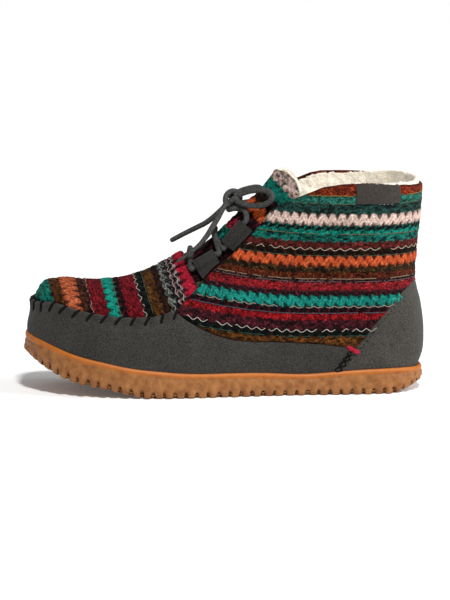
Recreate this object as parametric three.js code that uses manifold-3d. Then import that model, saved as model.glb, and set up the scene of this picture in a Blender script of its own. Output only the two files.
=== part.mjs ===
// Laced moccasin boot: striped knit and suede on a moulded gum cup sole. Left foot, empty and unbent.
// Millimetres, +Z up. The toe points along -X, the outer side of the foot faces -Y, the lugs stand on Z = 0.
import * as THREE from 'three';
import { mergeVertices } from 'three/addons/utils/BufferGeometryUtils.js';
import Module from 'manifold-3d';

const wasm = await Module();
wasm.setup();

// Driving dimensions
const bootLength = 265; // toe to heel over the sole
const ballWidth = 95; // over the sole at the ball of the foot
const bootHeight = 141; // floor to the top of the collar's edge
const toeRim = 39; // floor to the cup's edge at the toe, which the rest of the cup's side follows
const cupDepth = 7.5; // from the cup's edge down to its floor
const toeSwing = 5; // how far the toe's tip turns towards the inner side
const noseBulge = 0.5; // the toe's tip stands out this far before the first section
const upperWall = 3.2; // knit with its backing, without the fleece pile
const plugStep = 1.2; // the plug lies this far under the quarters' surface
const suedeThickness = 1.4;
const seamRise = 1.3; // how far the vamp's puckered edge stands out
const seamBand = 5; // width of that edge
const tongueThickness = 3;
const insoleThickness = 5;
const laceDiameter = 3.8;
const clearance = 0.3; // between two pieces that touch
const lugPitch = 7.4; // along the sole's side
const lugGap = 2.8; // between two lugs at the floor
const lugReach = 8; // how far a gap runs in under the sole
const treadPitch = 13; // between grooves across the bottom
const treadDepth = 2;
const treadMargin = 14; // from the sole's side to a groove's end
const bandInset = 1; // the smooth band's foot lies this far behind the lugs' tops
const rimInset = 1.6; // and the cup's edge this far
const lugInset = 2; // how far the lugs slope in towards the floor
const tabReach = 18; // from the lace out past the throat's edge
const tabLeather = 1.5;
const tagAlong = 0.878; // the tag's middle from the toe, as a share of bootLength
const tagWidth = 29.4;
const tagDrop = 14;
const tagThickness = 1;

const named = (columns, rows) => rows.map(
  (row) => Object.fromEntries(columns.split(' ').map((column, i) => [column, row[i]])),
);

// Sections of the last from the toe to the collar. Each is an oval on the line from its front point to its back
// point: along and up are shares of bootLength and bootHeight, outer and inner half widths are shares of ballWidth,
// widest is the place of the widest point as a share of the line from the back point, and the two powers say how
// square the oval is towards its front and its back.
const lastSections = named('frontAlong frontUp backAlong backUp outer inner widest frontPower backPower', [
  [0.011, 0.333, 0.017, 0.220, 0.105, 0.125, 0.50, 2.1, 2.1],
  [0.024, 0.440, 0.035, 0.156, 0.205, 0.221, 0.46, 2.2, 2.3],
  [0.051, 0.518, 0.076, 0.092, 0.300, 0.315, 0.42, 2.2, 2.6],
  [0.109, 0.531, 0.128, 0.050, 0.388, 0.390, 0.38, 2.2, 3.0],
  [0.181, 0.525, 0.196, 0.021, 0.446, 0.434, 0.36, 2.1, 3.2],
  [0.257, 0.542, 0.272, -0.007, 0.477, 0.455, 0.35, 2.0, 3.4],
  [0.328, 0.594, 0.362, -0.021, 0.484, 0.447, 0.34, 1.8, 3.6],
  [0.389, 0.656, 0.468, -0.028, 0.453, 0.405, 0.34, 1.65, 3.8],
  [0.445, 0.711, 0.589, -0.028, 0.416, 0.368, 0.36, 1.6, 3.8],
  [0.491, 0.786, 0.717, -0.028, 0.389, 0.358, 0.40, 1.6, 3.8],
  [0.536, 0.871, 0.838, -0.021, 0.384, 0.363, 0.42, 1.65, 3.6],
  [0.570, 0.936, 0.943, 0.028, 0.379, 0.368, 0.44, 1.7, 3.0],
  [0.593, 0.982, 0.986, 0.142, 0.379, 0.368, 0.45, 1.75, 2.6],
  [0.606, 1.014, 0.995, 0.255, 0.377, 0.366, 0.46, 1.8, 2.4],
  [0.617, 1.046, 0.988, 0.390, 0.374, 0.363, 0.46, 1.8, 2.3],
  [0.626, 1.078, 0.976, 0.525, 0.368, 0.358, 0.46, 1.85, 2.3],
  [0.638, 1.113, 0.980, 0.667, 0.368, 0.363, 0.46, 1.9, 2.3],
  [0.653, 1.156, 0.990, 0.837, 0.374, 0.368, 0.46, 1.9, 2.3],
  [0.672, 1.213, 0.996, 1.035, 0.374, 0.368, 0.46, 1.9, 2.3],
]);
const pointsRound = 24;

// The sole's outline. turn runs from the toe's tip, 0, to the heel's end, 1, as the angle of a half circle whose
// shadow is the length, and the half widths are shares of ballWidth.
const soleOutline = named('turn outer inner', [
  [0.0, 0, 0],
  [0.1, 0.210, 0.237],
  [0.2, 0.384, 0.395],
  [0.3, 0.479, 0.468],
  [0.4, 0.512, 0.488],
  [0.5, 0.463, 0.410],
  [0.6, 0.406, 0.372],
  [0.7, 0.389, 0.373],
  [0.8, 0.358, 0.345],
  [0.9, 0.225, 0.220],
  [1.0, 0, 0],
]);
const outlineSteps = 30;

// The sole's side: the cup's edge, the band's lower edge and the bottom. along is a share of bootLength, and the
// heights are shares of toeRim.
const soleSide = named('along rim band bottom', [
  [0.00, 1.000, 0.820, 0.680],
  [0.04, 0.910, 0.731, 0.538],
  [0.09, 0.780, 0.628, 0.397],
  [0.14, 0.682, 0.544, 0.282],
  [0.19, 0.613, 0.474, 0.179],
  [0.26, 0.521, 0.385, 0.056],
  [0.32, 0.474, 0.356, 0],
  [0.42, 0.418, 0.321, 0],
  [0.57, 0.408, 0.297, 0],
  [0.69, 0.368, 0.272, 0],
  [0.82, 0.421, 0.308, 0],
  [0.91, 0.436, 0.318, 0],
  [0.96, 0.426, 0.308, 0.092],
  [1.00, 0.403, 0.274, 0.192],
]);

// Lines of the upper seen from the side, as shares of bootLength and bootHeight
const mocSeam = named('along up', [
  [-0.10, 0.43],
  [0.03, 0.430],
  [0.064, 0.437],
  [0.09, 0.428],
  [0.14, 0.402],
  [0.19, 0.387],
  [0.24, 0.377],
  [0.317, 0.379],
  [0.37, 0.405],
]);
const quarterHem = named('along up', [
  [0.385, 0.379],
  [0.415, 0.346],
  [0.44, 0.318],
  [0.477, 0.288],
  [0.515, 0.267],
  [0.566, 0.257],
  [0.664, 0.249],
  [0.74, 0.238],
  [0.79, 0.227],
]);
const counterSeam = named('along up', [
  [0.74, 0.0],
  [0.773, 0.1135],
  [0.819, 0.218],
  [0.840, 0.260],
  [0.864, 0.324],
  [0.891, 0.378],
  [0.915, 0.433],
  [0.940, 0.482],
  [0.970, 0.519],
  [1.10, 0.53],
]);
const plugEnd = named('along up', [
  [0.395, 1.4],
  [0.395, 0.64],
]);
const throatEdge = named('along up', [
  [0.4226, 0.4965],
  [0.464, 0.5816],
  [0.515, 0.655],
  [0.565, 0.750],
  [0.595, 0.817],
  [0.615, 0.865],
]);
const collarEdge = named('along up', [
  [0.6475, 0.899],
  [0.683, 0.929],
  [0.74, 0.977],
  [0.79, 0.993],
  [0.84, 1.0],
  [0.94, 0.984],
  [0.992, 0.974],
  [1.10, 0.974],
]);
const tongueEdge = named('along up', [
  [0.355, 1.4],
  [0.355, 0.50],
  [0.42, 0.44],
  [0.49, 0.55],
  [0.56, 0.68],
  [0.63, 0.81],
  [0.680, 0.90],
  [0.676, 0.945],
  [0.663, 1.003],
  [0.640, 1.038],
  [0.600, 1.060],
  [0.560, 1.4],
]);

// Solids from meshes and back
function indexed(points, faces) {
  const geometry = new THREE.BufferGeometry();
  geometry.setAttribute('position', new THREE.Float32BufferAttribute(points.flatMap((p) => p.toArray()), 3));
  geometry.setIndex(faces);
  return geometry;
}

function solid(geometry) {
  geometry.deleteAttribute('normal');
  geometry.deleteAttribute('uv');
  const merged = mergeVertices(geometry, 1e-5);
  return new wasm.Manifold(new wasm.Mesh({
    numProp: 3,
    vertProperties: new Float32Array(merged.attributes.position.array),
    triVerts: new Uint32Array(merged.index.array),
  }));
}

function geometryOf(manifold) {
  const mesh = manifold.getMesh();
  const geometry = new THREE.BufferGeometry();
  geometry.setAttribute('position', new THREE.BufferAttribute(mesh.vertProperties, 3));
  geometry.setIndex(new THREE.BufferAttribute(mesh.triVerts, 1));
  geometry.computeVertexNormals();
  return geometry;
}

// The main body of a cut, without the crumbs that two nearly equal surfaces leave
const mainBody = (manifold) => manifold.decompose().reduce((a, b) => (b.volume() > a.volume() ? b : a));

// A closed skin over rings of equally many points, with an end point before the first and after the last ring
function skin(rings, firstPoint, lastPoint) {
  const count = rings[0].length;
  const points = [...rings.flat(), firstPoint, lastPoint];
  const faces = [];
  for (let ring = 0; ring < rings.length; ring += 1) {
    for (let i = 0; i < count; i += 1) {
      const a = ring * count + i;
      const b = ring * count + ((i + 1) % count);
      if (ring === 0) faces.push(points.length - 2, b, a);
      if (ring === rings.length - 1) faces.push(points.length - 1, a, b);
      else faces.push(a, b, b + count, a, b + count, a + count);
    }
  }
  return solid(indexed(points, faces));
}

// A smooth value from a table's column, at a place given by its key column
function smooth(table, key, column, place) {
  const last = table.length - 1;
  const at = THREE.MathUtils.clamp(place, table[0][key], table[last][key]);
  const low = Math.max(0, table.findLastIndex((row) => row[key] <= at) - (at === table[last][key] ? 1 : 0));
  const slope = (i) => {
    const before = table[Math.max(0, i - 1)];
    const after = table[Math.min(last, i + 1)];
    const turnsBack = (table[i][column] - before[column]) * (after[column] - table[i][column]) <= 0;
    const atEnd = i === 0 || i === last;
    return turnsBack && !atEnd ? 0 : (after[column] - before[column]) / (after[key] - before[key]);
  };
  const [from, to] = [table[low], table[low + 1]];
  const span = to[key] - from[key];
  const t = (at - from[key]) / span;
  const value = from[column] * (2 * t ** 3 - 3 * t ** 2 + 1) + to[column] * (3 * t ** 2 - 2 * t ** 3);
  return value + span * (slope(low) * (t ** 3 - 2 * t ** 2 + t) + slope(low + 1) * (t ** 3 - t ** 2));
}

const swing = (x) => toeSwing * Math.max(0, 1 - x / (0.3 * bootLength)) ** 2;

// A point on the last: place is the section's number, with fractions between sections, and turn is the way round
// it, from the front point, 0, past the outer side, 0.5, to the back point, 1, and past the inner side to 2.
const lastTable = lastSections.map((section, number) => ({ number, ...section }));

function lastPoint(place, turn) {
  const at = (column) => smooth(lastTable, 'number', column, place);
  const front = new THREE.Vector2(at('frontAlong') * bootLength, at('frontUp') * bootHeight);
  const back = new THREE.Vector2(at('backAlong') * bootLength, at('backUp') * bootHeight);
  const angle = Math.PI * turn;
  const forward = Math.cos(angle);
  const power = 2 / at(forward > 0 ? 'frontPower' : 'backPower');
  const reach = Math.abs(forward) ** power;
  const widest = at('widest');
  const share = forward > 0 ? widest + (1 - widest) * reach : widest * (1 - reach);
  const side = Math.sin(angle) > 0 ? -at('outer') : at('inner');
  const spot = back.clone().lerp(front, share);
  return new THREE.Vector3(spot.x, swing(spot.x) + side * ballWidth * Math.abs(Math.sin(angle)) ** power, spot.y);
}

function lastNormal(place, turn) {
  const end = lastSections.length - 1;
  const step = 0.02;
  const ahead = lastPoint(Math.min(end, place + step), turn).sub(lastPoint(Math.max(0, place - step), turn));
  const round = lastPoint(place, turn + step).sub(lastPoint(place, turn - step));
  return round.cross(ahead).normalize();
}

const onLast = (place, turn, lift) => lastPoint(place, turn).addScaledVector(lastNormal(place, turn), lift);

const middle = (points) => points.reduce((sum, p) => sum.add(p), new THREE.Vector3()).divideScalar(points.length);

// The last's whole form, grown by lift. Every shell and overlay is cut from it.
function form(lift) {
  const turns = Array.from({ length: pointsRound }, (_, i) => (2 * i) / pointsRound);
  const rings = lastSections.map((_, place) => turns.map((turn) => onLast(place, turn, lift)));
  const nose = middle(rings[0]);
  nose.x = lastSections[0].frontAlong * bootLength - noseBulge - lift;
  return skin(rings, nose, middle(rings.at(-1)));
}

// A block right across the boot whose outline is seen from the side
function sideBlock(corners) {
  const shape = new THREE.Shape(corners.map(([x, z]) => new THREE.Vector2(x, z)));
  const block = new THREE.ExtrudeGeometry(shape, { depth: 2 * ballWidth, bevelEnabled: false });
  return solid(block.rotateX(Math.PI / 2).translate(0, ballWidth, 0));
}

const line = (table, dx = 0, dz = 0) => table.map((row) => [row.along * bootLength + dx, row.up * bootHeight + dz]);
// Corners well clear of the boot
const [farLeft, farRight] = [-0.1 * bootLength, 1.1 * bootLength];
const [farDown, farUp] = [-0.3 * bootHeight, 1.4 * bootHeight];

// Heights of the sole's side at a distance from the toe
const soleHeight = (column, x) => toeRim * smooth(soleSide, 'along', column, x / bootLength);
const cupFloor = (x) => soleHeight('rim', x) - cupDepth;
const floorLine = (lift) => soleSide.map((row) => [row.along * bootLength, cupFloor(row.along * bootLength) + lift]);
const underFloor = (lift) => sideBlock([
  [farLeft, farDown], [farRight, farDown], [farRight, cupFloor(bootLength) + lift],
  ...floorLine(lift).reverse(), [farLeft, cupFloor(0) + lift],
]);

// The opening of throat and collar, and the fields of plug, suede vamp and suede counter
const opening = (back) => sideBlock([
  ...line(plugEnd), ...line(throatEdge, -back, back), ...line(collarEdge), [farRight, farUp],
]);
const plugField = () => sideBlock([
  ...line(mocSeam, 0, -suedeThickness), ...line(throatEdge.slice(0, 1)),
  [throatEdge[0].along * bootLength, farUp], [farLeft, farUp],
]);
const suedeField = () => sideBlock([
  ...line([...mocSeam, ...quarterHem, ...counterSeam.slice(2)]), [farRight, farDown], [farLeft, farDown],
]);
const vampField = (drop) => sideBlock([
  ...line([...mocSeam, ...quarterHem, ...counterSeam.slice(0, 3).reverse()], -drop, -drop), [farLeft, 0],
]);
const counterField = (drop) => sideBlock([...line(counterSeam, drop, -drop), [farRight, 0]]);
const seamField = (drop) => sideBlock([
  ...line(mocSeam, -drop, -drop), ...line(mocSeam, -drop, -drop - seamBand).reverse(),
]);

// The sole's outline in plan, and the same line moved inwards
function outlinePoint(turn, inset) {
  const edge = (t) => {
    const half = Math.abs(t);
    const x = bootLength * (1 - Math.cos(Math.PI * half)) / 2;
    const side = t < 0 ? ballWidth * smooth(soleOutline, 'turn', 'inner', half)
      : -ballWidth * smooth(soleOutline, 'turn', 'outer', half);
    return new THREE.Vector2(x, swing(x) + side);
  };
  const step = 0.004;
  const wrap = (t) => (t > 1 ? t - 2 : t < -1 ? t + 2 : t);
  const way = edge(wrap(turn + step)).sub(edge(wrap(turn - step))).normalize();
  return { point: edge(turn).addScaledVector(new THREE.Vector2(-way.y, way.x), inset), way };
}

const outlineTurns = Array.from({ length: 2 * outlineSteps }, (_, i) => -1 + (i + 0.5) / outlineSteps);
const outlineRing = (inset, height) => outlineTurns.map((turn) => {
  const { point } = outlinePoint(turn, inset);
  return new THREE.Vector3(point.x, point.y, height(point.x));
});

// A closed body over rings whose first and last are closed by strips straight across
function capped(rings) {
  const count = rings[0].length;
  const faces = [];
  for (let ring = 0; ring < rings.length - 1; ring += 1) {
    for (let i = 0; i < count; i += 1) {
      const a = ring * count + i;
      const b = ring * count + ((i + 1) % count);
      faces.push(a, b + count, b, a, a + count, b + count);
    }
  }
  const base = (rings.length - 1) * count;
  for (let i = 0; i < count / 2 - 1; i += 1) {
    const [a, b, c, d] = [i, i + 1, count - 2 - i, count - 1 - i];
    faces.push(a, b, c, a, c, d, base + a, base + c, base + b, base + a, base + d, base + c);
  }
  return solid(indexed(rings.flat(), faces));
}

function outsoleBody() {
  const between = (share) => (x) => THREE.MathUtils.lerp(soleHeight('bottom', x), soleHeight('band', x), share);
  return capped([
    outlineRing(rimInset, (x) => soleHeight('rim', x)),
    outlineRing(bandInset, (x) => soleHeight('band', x)),
    outlineRing(0, between(0.85)),
    outlineRing(lugInset, (x) => soleHeight('bottom', x)),
  ]);
}

// The gaps between the lugs: wedges round the side, deepest at the floor and fading out under the smooth band.
// They stand at equal steps along the outline, which is measured in fine steps of turn.
function lugGaps() {
  const halfway = 400;
  const fine = Array.from({ length: 2 * halfway + 1 }, (_, i) => i / halfway - 1);
  const lengths = [0];
  for (let i = 1; i < fine.length; i += 1) {
    const step = outlinePoint(fine[i], 0).point.distanceTo(outlinePoint(fine[i - 1], 0).point);
    lengths.push(lengths.at(-1) + step);
  }
  const whole = lengths.at(-1);
  const count = Math.round(whole / lugPitch);
  const gaps = [];
  for (let i = 0; i < count; i += 1) {
    const turn = fine[lengths.findIndex((length) => length >= ((i + 0.5) * whole) / count)];
    const { point, way } = outlinePoint(turn, 0);
    const out = new THREE.Vector2(way.y, -way.x);
    const corner = (outward, sideways, height) => {
      const spot = point.clone().addScaledVector(out, outward).addScaledVector(way, sideways);
      return new THREE.Vector3(spot.x, spot.y, height(spot.x));
    };
    const level = (inward, half, height) => [
      corner(lugGap, -half, height), corner(lugGap, half, height), corner(-inward, 0, height),
    ];
    const under = (x) => soleHeight('bottom', x) - lugGap / 2;
    const over = (x) => soleHeight('band', x) - bandInset;
    const low = level(lugReach, 0.9 * lugGap, under);
    const high = level(0.3 * lugGap, 0.6 * lugGap, over);
    gaps.push(skin([low, high], middle(low), middle(high)));
  }
  return wasm.Manifold.union(gaps);
}

function treadGrooves() {
  const field = capped([outlineRing(treadMargin, () => toeRim), outlineRing(treadMargin, () => -toeRim)]);
  const treadLength = bootLength - 3 * treadMargin;
  const count = Math.floor(treadLength / treadPitch);
  const grooves = Array.from({ length: count + 1 }, (_, i) => {
    const x = 1.5 * treadMargin + (i * treadLength) / count;
    const corner = (side, dz) => [x + (side * lugGap) / 2, soleHeight('bottom', x + (side * lugGap) / 2) + dz];
    return sideBlock([
      corner(-1, -treadDepth), corner(1, -treadDepth), corner(1, treadDepth), corner(-1, treadDepth),
    ]);
  });
  return wasm.Manifold.union(grooves).intersect(field);
}

// A round cord along hand-placed points
function cord(points, diameter, steps) {
  const sides = 8;
  const axis = new THREE.Vector2();
  const spoke = (_, i) => new THREE.Vector2(diameter / 2, 0).rotateAround(axis, (2 * Math.PI * i) / sides);
  const section = new THREE.Shape(Array.from({ length: sides }, spoke));
  const extrudePath = new THREE.CatmullRomCurve3(points, false, 'centripetal');
  return solid(new THREE.ExtrudeGeometry(section, { steps, extrudePath, bevelEnabled: false }));
}

// Lace tabs: suede folded round the lace, lying on the tongue, with both layers sewn together at the throat's edge.
// low and high are the ends' places on the last, and turn is their way round it.
const tabs = named('name low lowTurn high highTurn', [
  ['lower', 7.40, 0.175, 8.26, 0.170],
  ['upper', 8.80, 0.165, 9.78, 0.145],
]);
const eyeRadius = laceDiameter / 2 + 2 * clearance;
const tabRadius = eyeRadius + tabLeather;
const laceInTab = -upperWall + tabRadius;
const laceOnTongue = -upperWall + laceDiameter / 2 + 3 * clearance;

const tabEnds = (tab, side) => [
  onLast(tab.low, side * tab.lowTurn, laceInTab), onLast(tab.high, side * tab.highTurn, laceInTab),
];

function laceTab(tab, side) {
  const [low, high] = tabEnds(tab, side);
  const along = high.clone().sub(low).normalize().multiplyScalar(-side);
  const out = lastNormal((tab.low + tab.high) / 2, (side * (tab.lowTurn + tab.highTurn)) / 2);
  const toEdge = out.clone().cross(along).normalize();
  const up = along.clone().cross(toEdge);
  const outline = new THREE.Shape();
  outline.moveTo(tabReach, -tabRadius);
  outline.lineTo(tabReach, -tabRadius + 2 * tabLeather);
  outline.lineTo(tabRadius, -tabRadius + 2 * tabLeather);
  outline.absarc(0, 0, tabRadius, 0.1 * Math.PI, 1.5 * Math.PI, false);
  outline.holes.push(new THREE.Path().absarc(0, 0, eyeRadius, 0, 2 * Math.PI, true));
  const depth = low.distanceTo(high);
  const strap = new THREE.ExtrudeGeometry(outline, { depth, bevelEnabled: false, curveSegments: 6 });
  const place = new THREE.Matrix4().makeBasis(toEdge, up, along).setPosition(side > 0 ? high : low);
  return solid(strap.applyMatrix4(place)).intersect(opening(clearance)).subtract(form(-upperWall));
}

// The lace's way straight through a tab, with a little before and after it
function throughTab(tab, side) {
  const [low, high] = tabEnds(tab, side);
  const past = (0.8 * laceDiameter) / low.distanceTo(high);
  return [-past, 0, 0.5, 1, 1 + past].map((share) => low.clone().lerp(high, share));
}

// The knot of the bow, and the lace from the bar's middle through both tabs of its way up to the knot
const knotMiddle = onLast(9.9, 0.01, 4.8);
const knotSize = new THREE.Vector3(5, 6, 7);
const fromKnot = ([x, y, z]) => knotMiddle.clone().add(new THREE.Vector3(x, y, z));

function laceStrand(side) {
  const [lower, upper] = tabs;
  return cord([
    onLast(7.34, 0.07 * side, laceOnTongue),
    ...throughTab(lower, side),
    onLast(8.58, 0.08 * side, laceInTab),
    onLast(8.68, 0, laceOnTongue + clearance),
    onLast(8.56, -0.09 * side, laceInTab),
    ...throughTab(upper, -side),
    fromKnot([8.5, 8.5 * side, -5.5]),
    fromKnot([4.2, 3.4 * side, -4.3]),
  ], laceDiameter, 26);
}

// The bar across the tongue, thick enough to take in the two strands' ends
function laceBar() {
  const turns = [-0.08, -0.04, 0, 0.04, 0.08];
  return cord(turns.map((turn) => onLast(7.34, turn, laceOnTongue)), 1.1 * laceDiameter, 6);
}

// The bow, as steps from the knot's middle
const bow = {
  lace_loop_outer: [
    [3, -7, 1], [7, -9, -0.6], [13, -12, -1.6], [19, -15.5, -0.8], [23.6, -18.3, 1.6], [25.6, -19.5, 4.8],
    [24.6, -19.3, 7.8], [21.6, -17.5, 9.2], [16.8, -14.5, 9.2], [11, -11, 8], [7, -8.5, 6.4], [2, -6, 4.6],
  ],
  lace_loop_inner: [
    [1.6, 5.8, 3.2], [6, 10, 5.2], [11, 14.5, 6.3], [17, 19.5, 6.6], [20.6, 22.5, 5.4], [22, 24, 2.8], [20.4, 23.5, 0],
    [15, 20, -2.4], [9.5, 15, -3], [5.5, 11, -2.2], [2.4, 6.8, -0.6],
  ],
  lace_end_outer: [
    [-4, -6, -1], [-6.8, -8.5, -4.6], [-9.5, -10.5, -9.4], [-13.5, -13, -15.5], [-16.8, -14.5, -20.5],
    [-21.4, -15.8, -26], [-26, -16.5, -30], [-31, -17, -33.8], [-37.2, -17.5, -38],
  ],
  lace_end_inner: [
    [-4.4, 2.6, -4], [-11.5, 5.5, -11], [-17, 7.5, -15.5], [-22.5, 9, -18.5], [-31, 11, -23], [-40, 12.5, -28],
  ],
};

// The bare tag: a flat loop of webbing sewn on outside, level with the collar's edge
function sideTag() {
  const [left, right] = [tagAlong * bootLength - tagWidth / 2, tagAlong * bootLength + tagWidth / 2];
  const drop = bootHeight - tagDrop;
  return form(clearance + tagThickness).subtract(form(clearance))
    .intersect(sideBlock([...line(collarEdge), [farRight, farDown], [line(collarEdge)[0][0], farDown]]))
    .intersect(sideBlock([[left, drop], [right, drop], [right, farUp], [left, farUp]]).translate(0, -ballWidth, 0));
}

const material = (color, roughness) => new THREE.MeshStandardMaterial({ color, roughness, metalness: 0 });
const knit = material('#7a2c2c', 0.95);
const suede = material('#474641', 0.9);
const gum = material('#b8733a', 0.55);
const fleece = material('#e6dfd0', 1);
const cordLeather = material('#3f3f3d', 0.75);

const boot = new THREE.Group();
function add(name, body, finish) {
  const mesh = new THREE.Mesh(geometryOf(mainBody(body)), finish);
  mesh.name = name;
  boot.add(mesh);
}

// Outsole: the cup, its lugs and its tread
const lastForm = form(0);
const cavity = form(clearance).subtract(underFloor(0));
const outsole = outsoleBody().subtract(cavity).subtract(lugGaps()).subtract(treadGrooves());
add('outsole', outsole, gum);

// Upper: one shell, stepped down where plug and suede lie
const upper = lastForm
  .subtract(plugField().subtract(form(-plugStep)))
  .subtract(suedeField().subtract(form(-suedeThickness - clearance)))
  .subtract(form(-upperWall))
  .subtract(opening(0))
  .subtract(underFloor(clearance));
add('upper', upper, knit);

// Suede overlays
const behindSuede = form(-suedeThickness);
const vamp = lastForm.intersect(vampField(clearance))
  .add(form(seamRise).intersect(seamField(clearance)))
  .subtract(behindSuede)
  .subtract(underFloor(clearance));
add('vamp_suede', vamp, suede);
const counter = lastForm.intersect(counterField(clearance)).subtract(behindSuede).subtract(underFloor(clearance));
add('heel_counter', counter, suede);

// Tongue and insole inside the shell
const inside = form(-upperWall - clearance);
const tongue = inside
  .subtract(form(-upperWall - clearance - tongueThickness))
  .intersect(sideBlock(line(tongueEdge)));
add('tongue', tongue, knit);
const insole = inside
  .subtract(underFloor(clearance))
  .intersect(underFloor(clearance + insoleThickness));
add('insole', insole, fleece);

add('side_tag', sideTag(), suede);

// Lace tabs, lace and bow
for (const tab of tabs) {
  add(`lace_tab_outer_${tab.name}`, laceTab(tab, 1), suede);
  add(`lace_tab_inner_${tab.name}`, laceTab(tab, -1), suede);
}
add('lace_crossings', laceStrand(1).add(laceStrand(-1)).add(laceBar()), cordLeather);

// The middle of all but the bow stands over the origin
const middleOfBoot = new THREE.Box3().setFromObject(boot).getCenter(new THREE.Vector3());
boot.position.set(-middleOfBoot.x, -middleOfBoot.y, 0);

const knot = new THREE.SphereGeometry(1, 12, 8).scale(...knotSize.toArray()).translate(...knotMiddle.toArray());
add('lace_knot', solid(knot), cordLeather);
for (const [name, steps] of Object.entries(bow)) {
  add(name, cord(steps.map(fromKnot), laceDiameter, 2 * (steps.length - 1)), cordLeather);
}

export default boot;
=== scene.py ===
# Laced moccasin boot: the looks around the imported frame. Metres, +Z up, toe along -X, outer side of the foot at -Y.
# Shapes are worked out in the shoe's own millimetres, toe at x = 0 and floor at z = 0, and turned to the row frame.
import math

import bmesh
import bpy
import numpy as np
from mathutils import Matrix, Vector, kdtree
from mathutils.bvhtree import BVHTree


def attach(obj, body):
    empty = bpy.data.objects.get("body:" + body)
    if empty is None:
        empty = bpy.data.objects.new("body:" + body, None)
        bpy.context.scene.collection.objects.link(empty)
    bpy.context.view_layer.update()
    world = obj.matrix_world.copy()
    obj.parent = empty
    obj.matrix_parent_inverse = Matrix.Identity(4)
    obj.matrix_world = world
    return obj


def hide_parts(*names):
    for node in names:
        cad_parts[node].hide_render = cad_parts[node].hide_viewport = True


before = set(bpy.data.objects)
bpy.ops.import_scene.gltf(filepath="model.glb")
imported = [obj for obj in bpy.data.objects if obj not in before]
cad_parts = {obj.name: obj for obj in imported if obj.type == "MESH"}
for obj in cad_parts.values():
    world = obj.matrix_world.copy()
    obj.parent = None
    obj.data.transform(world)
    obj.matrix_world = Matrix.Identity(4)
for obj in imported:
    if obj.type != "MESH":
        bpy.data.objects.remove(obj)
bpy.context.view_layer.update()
draw = np.random.default_rng(11)
print("frame loaded")

photo = {  # the photograph's frame and what it shows
    "height": 600,
    "mmPerPixel": 0.6625,
    "target": (0.0007, 0.0, 0.0589),
    "azimuth": -3.0, "elevation": 8.5, "distance": 5.0,
}


def makeCamera():
    aim = Vector(photo["target"])
    a, e = math.radians(photo["azimuth"]), math.radians(photo["elevation"])
    way = Vector((math.sin(a) * math.cos(e), -math.cos(a) * math.cos(e), math.sin(e)))
    data = bpy.data.cameras.new("camera")
    shown = photo["height"] * photo["mmPerPixel"] / 1000  # the long side, which the sensor's width stands for
    data.lens = data.sensor_width * photo["distance"] / shown
    camera = bpy.data.objects.new("camera", data)
    camera.location = aim + way * photo["distance"]
    camera.rotation_euler = way.to_track_quat("Z", "Y").to_euler()
    bpy.context.scene.collection.objects.link(camera)
    bpy.context.scene.camera = camera


makeCamera()

# The last, as in the part's source
boot = {
    "length": 265, "ball": 95, "height": 141, "toeRim": 39, "cup": 7.5, "swing": 5, "wall": 3.2,
    "middle": (132.5, -1.1135), "noseBulge": 1.3,
}
sectionNames = "frontAlong frontUp backAlong backUp outer inner widest frontPower backPower".split()
lastSections = np.array([
    (0.011, 0.333, 0.017, 0.220, 0.105, 0.125, 0.50, 2.1, 2.1),
    (0.024, 0.440, 0.035, 0.156, 0.205, 0.221, 0.46, 2.2, 2.3),
    (0.051, 0.518, 0.076, 0.092, 0.300, 0.315, 0.42, 2.2, 2.6),
    (0.109, 0.531, 0.128, 0.050, 0.388, 0.390, 0.38, 2.2, 3.0),
    (0.181, 0.525, 0.196, 0.021, 0.446, 0.434, 0.36, 2.1, 3.2),
    (0.257, 0.542, 0.272, -0.007, 0.477, 0.455, 0.35, 2.0, 3.4),
    (0.328, 0.594, 0.362, -0.021, 0.484, 0.447, 0.34, 1.8, 3.6),
    (0.389, 0.656, 0.468, -0.028, 0.453, 0.405, 0.34, 1.65, 3.8),
    (0.445, 0.711, 0.589, -0.028, 0.416, 0.368, 0.36, 1.6, 3.8),
    (0.491, 0.786, 0.717, -0.028, 0.389, 0.358, 0.40, 1.6, 3.8),
    (0.536, 0.871, 0.838, -0.021, 0.384, 0.363, 0.42, 1.65, 3.6),
    (0.570, 0.936, 0.943, 0.028, 0.379, 0.368, 0.44, 1.7, 3.0),
    (0.593, 0.982, 0.986, 0.142, 0.379, 0.368, 0.45, 1.75, 2.6),
    (0.606, 1.014, 0.995, 0.255, 0.377, 0.366, 0.46, 1.8, 2.4),
    (0.617, 1.046, 0.988, 0.390, 0.374, 0.363, 0.46, 1.8, 2.3),
    (0.626, 1.078, 0.976, 0.525, 0.368, 0.358, 0.46, 1.85, 2.3),
    (0.638, 1.113, 0.980, 0.667, 0.368, 0.363, 0.46, 1.9, 2.3),
    (0.653, 1.156, 0.990, 0.837, 0.374, 0.368, 0.46, 1.9, 2.3),
    (0.672, 1.213, 0.996, 1.035, 0.374, 0.368, 0.46, 1.9, 2.3),
])
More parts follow.
